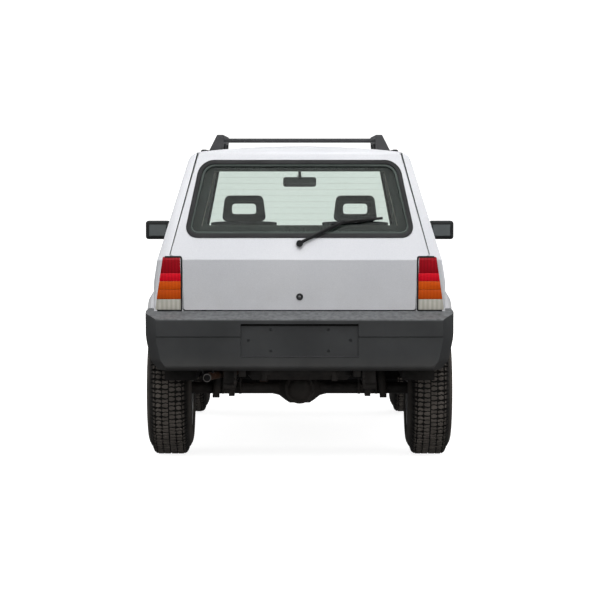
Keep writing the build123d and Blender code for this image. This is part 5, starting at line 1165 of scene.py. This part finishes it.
def lining(title, name, body, inward, low_z, high_z):
    """A thin shell over the faces of a node that look into the cabin."""
    shape = kept_between(copy_of(name), low_z, high_z)
    shape.normal_update()
    kept = [f for f in shape.faces if f.normal.dot(inward) > 0.75
            and lining_low_y < f.calc_center_median().y < lining_high_y]
    bmesh.ops.delete(shape, geom=[f for f in shape.faces if f not in set(kept)], context="FACES")
    raised_by(shape, shape.faces[:], Vector(inward) * lining_thickness)
    finished(shape, title, body, cabin_lining)


for side, sign in (("right", -1), ("left", 1)):
    inward = Vector((sign * math.cos(side_lean), 0, -math.sin(side_lean)))
    lining("side_lining_" + side, "side_panel_" + side, "body", inward, 0.80, 1.50)
    lining("door_lining_" + side, "door_" + side, "door_" + side, inward, 0.60, 1.44)
lining("tailgate_lining", "tailgate", "tailgate", -tail_out, 0.80, 1.48)
print("linings made")

# %% [markdown]
# Behind the rear window, the pillars and the rear rail of the roof carry one moulded surround. It
# is a plate with a rounded window in it: an outer and an inner outline joined by a bridge.

# %% Load bay surround
def windowed_plate(outer, outer_radius, inner, inner_radius, thickness):
    shape = joined(rounded_plate(outer, outer_radius, 6), rounded_plate(inner, inner_radius, 6))
    bmesh.ops.delete(shape, geom=shape.faces[:], context="FACES_ONLY")
    bmesh.ops.bridge_loops(shape, edges=shape.edges[:])
    raised_by(shape, shape.faces[:], (0, 0, thickness))
    bmesh.ops.recalc_face_normals(shape, faces=shape.faces)
    return bevelled(shape, outer_edges(shape, Vector((0, 0, 1))), thickness * 0.35, 2)


surround = windowed_plate(tail_corners(0.548, 0.452, 1.090, 1.470), 0.05,
                          tail_corners(0.455, 0.412, 1.172, 1.433), 0.024, 0.012)
finished(on_tail_plane(surround, -0.080), "load_bay_surround", "body", cabin_lining)
print("load bay surround fitted")

# %% [markdown]
# ## Seats
# The seats are foam under woven cloth. The foam's shape comes from the CAD solid, made slightly
# smaller and remeshed into even squares. A cloth simulation with a little air pressure then
# swells it like a stuffed cover, and each point may move only so far. The simulation isn't the
# last word: formulas then lift and square the front seats' tops and widen the headrests. Sewn
# channels are pressed into the seats last. The headrests have none.

# %% Stuffed covers
def islands(shape):
    """The separate pieces of a mesh, as lists of vertices."""
    left, groups = set(shape.verts), []
    while left:
        stack, group = [left.pop()], []
        while stack:
            here = stack.pop()
            group.append(here)
            for edge in here.link_edges:
                other = edge.other_vert(here)
                if other in left:
                    left.remove(other)
                    stack.append(other)
        groups.append(group)
    return groups


def remeshed(shape, voxel):
    """The same form in even quads."""
    mesh = bpy.data.meshes.new("foam")
    shape.to_mesh(mesh)
    foam = bpy.data.objects.new("foam", mesh)
    bpy.context.collection.objects.link(foam)
    even = foam.modifiers.new("even", "REMESH")
    even.mode = "VOXEL"
    even.voxel_size = voxel
    seen = foam.evaluated_get(bpy.context.evaluated_depsgraph_get())
    result = bpy.data.meshes.new_from_object(seen)
    bpy.data.objects.remove(foam)
    return result


def swollen(mesh, pressure, cap):
    """Cloth with pressure and no gravity, run for 20 frames, every point held to a longest move."""
    cover = bpy.data.objects.new("cover", mesh)
    bpy.context.collection.objects.link(cover)
    cloth = cover.modifiers.new("cloth", "CLOTH")
    cloth.settings.quality = 5
    cloth.settings.mass = 0.3
    cloth.settings.use_pressure = True
    cloth.settings.uniform_pressure_force = pressure
    cloth.settings.effector_weights.gravity = 0.0
    cloth.point_cache.frame_start = 1
    cloth.point_cache.frame_end = 20
    stage = bpy.context.scene
    for step in range(1, 21):
        stage.frame_set(step)
    blown = cover.evaluated_get(bpy.context.evaluated_depsgraph_get()).to_mesh()
    for point, moved in zip(mesh.vertices, blown.vertices):
        push = moved.co - point.co
        point.co = point.co + push * min(1.0, cap / max(push.length, 1e-9))
    bpy.data.objects.remove(cover)
    stage.frame_set(1)
    return mesh


def foam_pieces(name, shrink):
    """The CAD solid's islands from right to left, each a little smaller about its own middle.

    The order is set by position because islands() finds them in no fixed order, and the first
    cover made from them stands for the node.
    """
    whole = copy_of(name)
    found = []
    for group in islands(whole):
        part = whole.copy()
        whole.verts.index_update()
        keep = {v.index for v in group}
        bmesh.ops.delete(part, geom=[v for v in part.verts if v.index not in keep], context="VERTS")
        low = Vector([min(v.co[i] for v in part.verts) for i in range(3)])
        high = Vector([max(v.co[i] for v in part.verts) for i in range(3)])
        middle, size = (low + high) / 2, high - low
        for v in part.verts:
            v.co = Vector([middle[i] + (v.co[i] - middle[i]) * (1 - 2 * shrink / size[i]) for i in range(3)])
        found.append((part, low, high))
    whole.free()
    return sorted(found, key=lambda piece: -piece[1].x)


channel_depth = 0.005


def press_channels(mesh, places, width, cushion_z):
    """Presses upright grooves into a cover's front, and into its top below cushion_z."""
    for point in mesh.vertices:
        if point.normal.y > 0.35 or point.normal.z > 0.6 and point.co.z < cushion_z:
            for place in places:
                gap = (point.co.x - place) / width
                if abs(gap) < 2.5:
                    point.co = point.co - point.normal * channel_depth * math.exp(-gap * gap)


def covered(title, name, index, mesh, cloth):
    """Hands over a cover; the first one of a node stands for the node."""
    shape = bmesh.new()
    shape.from_mesh(mesh)
    bpy.data.meshes.remove(mesh)
    bmesh.ops.smooth_vert(shape, verts=shape.verts, factor=0.5, use_axis_x=True, use_axis_y=True,
                          use_axis_z=True)
    piece = finished(shape, title, "body", cloth, sharp=180)
    finer = piece.modifiers.new("finer", "SUBSURF")
    finer.levels = 1
    finer.render_levels = 1
    if index == 0:
        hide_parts(name)


print("cover tools ready")

# %% Front seats
most_lift, over_foam, shoulder_drop = 0.052, 0.016, 0.026
for index, (foam, low, high) in enumerate(foam_pieces("front_seats", 0.004)):
    middle_x = (low.x + high.x) / 2
    half = (high.x - low.x) / 2
    mesh = swollen(remeshed(foam, 0.011), 4.0, 0.014)
    foam.free()
    for point in mesh.vertices:
        aside = abs(point.co.x - middle_x) / half
        near_top = max(0.0, min(1.0, (point.co.z - high.z + 0.16) / 0.10))
        lift = most_lift * min(1.0, 0.5 + aside * 1.2) * near_top
        top_line = high.z + over_foam - shoulder_drop * aside ** 6
        point.co.z = max(point.co.z, min(point.co.z + lift, top_line))
    channels = [middle_x + half * share for share in (-0.56, -0.28, 0.0, 0.28, 0.56)]
    press_channels(mesh, channels, 0.006, low.z + 0.2)
    covered("front_seat_" + ("right" if middle_x > 0 else "left"), "front_seats", index, mesh, seat_cloth)
print("front seats covered")

# %% Rear seat
for index, (foam, low, high) in enumerate(foam_pieces("rear_seat", 0.010)):
    mesh = swollen(remeshed(foam, 0.013), 4.0, 0.016)
    foam.free()
    press_channels(mesh, [-0.30, -0.15, 0.0, 0.15, 0.30], 0.007, low.z + 0.2)
    covered("rear_seat_cover", "rear_seat", index, mesh, seat_cloth)
print("rear seat covered")

# %% Headrests
for index, (foam, low, high) in enumerate(foam_pieces("headrests", 0.004)):
    mesh = swollen(remeshed(foam, 0.006), 3.0, 0.005)
    foam.free()
    for point in mesh.vertices:
        base = 1 - (point.co.z - low.z) / (high.z - low.z)
        point.co.x += (point.co.x - (low.x + high.x) / 2) * (0.035 + 0.06 * base)
    covered("headrest_" + ("right" if low.x > 0 else "left"), "headrests", index, mesh, side_cloth)
print("headrests covered")

# %% [markdown]
# ## Underside fittings
# Seen from behind, a rear axle is a crowd of small dark parts: a bolted cover on the differential,
# U-bolts that clamp the springs, brake pipes and the handbrake cable, and pressed cross panels
# above them. Each is modelled as its own simple part.

# %% Differential cover
axle_low, axle_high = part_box("rear_axle")
axle_y = (axle_low[1] + axle_high[1]) / 2
axle_z = (axle_low[2] + axle_high[2]) / 2
cover_face = Vector((0, axle_y - 0.0755, axle_z))
cover = turned([(0.0, 0.034), (0.018, 0.0335), (0.036, 0.030), (0.052, 0.021), (0.058, 0.010), (0.068, 0.006),
                (0.0725, 0.0055), (0.0735, 0.003), (0.0735, -0.002), (0.0, -0.002)], 40)
cover = aimed(cover, cover_face, (0, -1, 0))
for index in range(10):
    angle = 2 * math.pi * (index + 0.5) / 10
    spot = cover_face + Vector((0.0658 * math.cos(angle), -0.0052, 0.0658 * math.sin(angle)))
    bolt = turned([(0.0, 0.0048), (0.0045, 0.0048), (0.0056, 0.0036), (0.0056, 0.0), (0.0, 0.0)], 6)
    cover = joined(cover, aimed(bolt, spot, (0, -1, 0)))
finished(cover, "differential_cover", "body", chassis_enamel)
print("cover at y", round(cover_face.y, 3))

# %% Spring clamps
spring_x = 0.339
clamps = bmesh.new()
for x in (spring_x - 0.043, spring_x + 0.043):
    for y in (axle_y - 0.052, axle_y + 0.052):
        leg = bar([(x, y, 0.304), (x, y, 0.385)], 0.0055, 8)
        nut = aimed(turned([(0.0, 0.009), (0.0072, 0.009), (0.0090, 0.0075), (0.0090, 0.0), (0.0, 0.0)], 6),
                    (x, y, 0.314), (0, 0, -1))
        clamps = joined(clamps, leg, nut)
    arch = [(x, axle_y - 0.052 * math.cos(a), 0.385 + 0.040 * math.sin(a))
            for a in [math.pi * step / 8 for step in range(9)]]
    clamps = joined(clamps, bar(arch, 0.0055, 8))
finished(mirrored_pair(clamps), "spring_clamps", "body", chassis_enamel)
print("spring clamps:", 4)

# %% Brake pipes, hose and handbrake cable
pipes = bmesh.new()
for side in (-1, 1):
    run = [(side * x, axle_y - 0.030 + dy, z) for x, dy, z in
           ((0.04, 0.0, 0.435), (0.075, -0.02, 0.415), (0.115, -0.015, 0.378), (0.22, -0.012, 0.374),
            (0.29, -0.020, 0.384), (0.37, -0.014, 0.376), (0.50, -0.004, 0.372), (0.54, 0.0, 0.36))]
    pipes = joined(pipes, bar(run, 0.0026, 8))
    cable = [(side * x, y, z) for x, y, z in
             ((0.10, -0.62, 0.392), (0.20, -0.80, 0.384), (0.27, -0.95, 0.372), (0.38, -1.03, 0.352),
              (0.47, -1.07, 0.346), (0.54, -1.09, 0.34))]
    pipes = joined(pipes, bar(cable, 0.0045, 8))
hose = [(0.04, axle_y - 0.03, 0.435), (0.055, axle_y + 0.03, 0.455), (0.06, axle_y + 0.10, 0.45),
        (0.06, axle_y + 0.16, 0.435)]
pipes = joined(pipes, bar(hose, 0.0055, 10))
finished(pipes, "brake_pipes_and_cables", "body", window_rubber)
print("pipes run")

# %% Pressed cross panels
def pressed_panel(x_low, x_high, y, z_low, z_high, beads, lean=0.0):
    """A dark steel panel across the car with upright beads pressed into it."""
    shape = bmesh.new()
    bmesh.ops.create_grid(shape, x_segments=60, y_segments=10, size=0.5)
    for corner in shape.verts:
        share = corner.co.x + 0.5
        up = corner.co.y + 0.5
        wave = max(0.0, math.cos(2 * math.pi * share * beads)) ** 3 * 0.008 * math.sin(math.pi * up) ** 0.5
        corner.co = Vector((x_low + share * (x_high - x_low), y - wave + lean * up,
                            z_low + up * (z_high - z_low)))
    bmesh.ops.recalc_face_normals(shape, faces=shape.faces)
    bmesh.ops.solidify(shape, geom=shape.faces[:], thickness=0.002)
    return shape


panels = joined(pressed_panel(0.040, 0.335, -0.835, 0.322, 0.446, 5, 0.02),
                pressed_panel(0.180, 0.312, -1.275, 0.392, 0.464, 2, 0.015),
                pressed_panel(0.300, 0.520, -0.900, 0.372, 0.450, 4, 0.02),
                soft_box((0.268, -1.262, 0.418), (0.305, -1.205, 0.468), 0.006))
panels = mirrored_pair(panels)
finished(panels, "underfloor_cross_panels", "body", underseal)
print("cross panels fitted")

# %% Tank straps and small brackets
tank_low, tank_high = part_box("fuel_tank")
straps = bmesh.new()
for x in (-0.17, 0.17):
    strap = soft_box((x - 0.014, tank_low[1] - 0.004, tank_low[2] - 0.004),
                     (x + 0.014, tank_high[1] + 0.004, tank_low[2] - 0.0005), 0.0015, 2)
    riser = soft_box((x - 0.014, tank_low[1] - 0.004, tank_low[2] - 0.004),
                     (x + 0.014, tank_low[1] - 0.0005, tank_high[2]), 0.0015, 2)
    straps = joined(straps, strap, riser)
for side in (-1, 1):
    bracket = soft_box((side * 0.276 - 0.018, -1.600, 0.424), (side * 0.276 + 0.018, -1.560, 0.470), 0.005)
    straps = joined(straps, bracket)
finished(straps, "tank_straps", "body", chassis_enamel)
print("tank straps at x 0.17")

# %% [markdown]
# The exhaust ends in an open pipe. The CAD pipe is solid, so its end gets a thin turned rim with a
# near-black disc set inside, soot and painted shade of the open bore, and two hangers hold the pipe.

# %% Exhaust tip and hangers
tip = Vector((-0.442, -1.690, 0.427))
rim_ring = turned([(0.0158, 0.001), (0.0162, 0.0085), (0.0176, 0.0095), (0.0193, 0.0085), (0.0196, -0.030),
                   (0.0192, -0.030)], 32)
finished(aimed(rim_ring, tip, (0, -1, 0)), "exhaust_rim", "body", turned_steel)
# Near-black disc: the soot in the pipe's end together with painted shade for the depth of its open bore.
bore_soot_and_shade = turned([(0.0, 0.0014), (0.0150, 0.0014), (0.0160, 0.0004), (0.0, 0.0004)], 24)
finished(aimed(bore_soot_and_shade, tip, (0, -1, 0)), "exhaust_bore_soot_and_shade", "body", soot_and_shade_black)
hangers = bmesh.new()
for y in (-1.58, -0.50):
    loop = [(-0.442 + 0.026 * math.sin(a), y, 0.452 + 0.020 * math.cos(a))
            for a in [2 * math.pi * step / 16 for step in range(16)]]
    hangers = joined(hangers, bar(loop, 0.0048, 8, closed=True))
finished(hangers, "exhaust_hangers", "body", window_rubber)
print("exhaust tip fitted")

# %% [markdown]
# ## Wheels
# Pressed steel wheels are held by four nuts round a small centre cap, and each carries a rubber
# valve near its rim. The parts are turned once and repeated round each axle by a rotation.

# %% Nuts, caps and valves
face_x = 0.682
for wheel in wheels:
    low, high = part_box("rim_" + wheel)
    side = 1 if low[0] > 0 else -1
    centre = Vector((0, (low[1] + high[1]) / 2, (low[2] + high[2]) / 2))
    small = bmesh.new()
    for index in range(4):
        angle = math.pi / 2 * index + math.pi / 4
        spot = centre + Vector((side * face_x, 0.049 * math.cos(angle), 0.049 * math.sin(angle)))
        nut = turned([(0.0, 0.020), (0.0042, 0.0195), (0.0078, 0.0165), (0.0095, 0.013), (0.0098, 0.0),
                      (0.0, 0.0)], 6)
        small = joined(small, aimed(nut, spot, (side, 0, 0)))
    cap = turned([(0.0, 0.026), (0.012, 0.0255), (0.022, 0.022), (0.027, 0.014), (0.028, 0.0),
                  (0.0, 0.0)], 32)
    small = joined(small, aimed(cap, centre + Vector((side * face_x, 0, 0)), (side, 0, 0)))
    finished(small, "wheel_nuts_" + wheel, "wheel_" + wheel, zinc_plating)
    valve = turned([(0.0, 0.030), (0.0032, 0.030), (0.0036, 0.027), (0.0036, 0.014), (0.0052, 0.008),
                    (0.0068, 0.0), (0.0, 0.0)], 16)
    finished(aimed(valve, centre + Vector((side * 0.700, 0, 0.160)), (side, 0, -0.35)), "valve_" + wheel,
             "wheel_" + wheel, window_rubber)
print("wheel nuts and valves fitted")

# %% [markdown]
# ## Front lamps
# A round-cornered headlamp is a fluted glass over a silvered bowl and a bulb. The CAD lamp is one
# block, so the glass stays as its outer form and gets a black bezel and raised flutes, which the
# eye reads as depth.

# %% Headlamp flutes and bezels
lamp_low, lamp_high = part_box("headlamps")
lamp_inner_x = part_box("grille")[1][0] + 0.006
lamp_middle_x = (lamp_inner_x + lamp_high[0]) / 2
lamp_middle_z = (lamp_low[2] + lamp_high[2]) / 2
lamp_half = Vector(((lamp_high[0] - lamp_inner_x) / 2 - 0.004, (lamp_high[2] - lamp_low[2]) / 2 - 0.004))
bezel_corners = [(-lamp_half.x, -lamp_half.y), (lamp_half.x, -lamp_half.y), (lamp_half.x, lamp_half.y),
                 (-lamp_half.x, lamp_half.y)]
lamp_face = Vector((lamp_middle_x, lamp_high[1] - 0.0005, lamp_middle_z))
bezel = laid_on(rounded_frame(bezel_corners, 0.014, 0.007, 0.004, 4), lamp_face, (-1, 0, 0), (0, 0, 1))
finished(mirrored_pair(bezel), "headlamp_bezels", "body", smooth_black_abs)
flutes = bmesh.new()
count = 11
for index in range(count):
    x = (index + 0.5) / count * 2 - 1
    flute = bar([(lamp_middle_x + x * (lamp_half.x - 0.010), lamp_high[1] - 0.0012,
                  lamp_middle_z + s * (lamp_half.y - 0.012)) for s in (-1, 1)], 0.0032, 8)
    flutes = joined(flutes, flute)
finished(mirrored_pair(flutes), "headlamp_flutes", "body", headlamp_glass)
print("headlamps dressed:", count, "flutes")

# %% [markdown]
# ## Cabin fittings
# The dashboard has two round dials with their marks and needles. Each door has an outside handle
# with a lock beside it.

# %% Dials
dial_face = even_surface("dial_face", "16181A", "1E2022", 60, 1.0, 0.05, (0.4, 0.5))
dial_mark = even_surface("dial_marking", "C9CCCB", "D8DAD9", 30, 1.0, 0.02, (0.4, 0.5))
wheel_low, wheel_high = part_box("steering_wheel")
dash_low, dash_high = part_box("dashboard")
driver_x = (wheel_low[0] + wheel_high[0]) / 2
for index, offset in enumerate((-0.062, 0.062)):
    centre = Vector((driver_x + offset, dash_low[1] - 0.003, dash_high[2] - 0.050))
    dial = turned([(0.0, 0.0012), (0.034, 0.0012), (0.036, 0.0045), (0.039, 0.0045), (0.0405, 0.0),
                   (0.0, 0.0)], 40)
    finished(aimed(dial, centre, (0, -1, 0)), "dial_%d" % (index + 1), "body", dial_face)
    marks = bmesh.new()
    for step in range(13):
        angle = math.radians(-30 + step * 20)
        spot = centre + Vector((0.029 * math.cos(angle), -0.0016, 0.029 * math.sin(angle)))
        mark = soft_box((-0.0005, -0.0003, -0.0025), (0.0005, 0.0003, 0.0025), 0.0002, 1)
        bmesh.ops.rotate(mark, verts=mark.verts, cent=(0, 0, 0),
                         matrix=Matrix.Rotation(math.pi / 2 - angle, 3, "Y"))
        bmesh.ops.translate(mark, verts=mark.verts, vec=spot)
        marks = joined(marks, mark)
    needle = bar([centre + Vector((0, -0.0026, 0)), centre + Vector((-0.018, -0.0026, -0.014))], 0.0009, 6)
    finished(joined(marks, needle), "dial_marks_%d" % (index + 1), "body", dial_mark)
print("dials fitted")

# %% Outside handles and locks
door_low, door_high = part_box("door_right")
handle_y, handle_z = door_low[1] + 0.135, 0.905
handle_x = 0.7085
handle = soft_box((handle_x - 0.004, handle_y - 0.075, handle_z - 0.017),
                  (handle_x + 0.012, handle_y + 0.075, handle_z + 0.017), 0.006)
lock = turned([(0.0, 0.010), (0.008, 0.0098), (0.0105, 0.007), (0.011, 0.0), (0.0, 0.0)], 24)
print("door box", [round(v, 3) for v in door_low], [round(v, 3) for v in door_high])
for side, body in ((1, "door_right"), (-1, "door_left")):
    one = handle.copy()
    bmesh.ops.scale(one, vec=(side, 1, 1), verts=one.verts)
    finished(one, body + "_handle", body, smooth_black_abs)
    spot = Vector((side * handle_x, handle_y - 0.098, handle_z))
    finished(aimed(lock.copy(), spot, (side, 0, 0)), body + "_lock", body, bright_chrome)
handle.free()
lock.free()
print("door handles fitted")
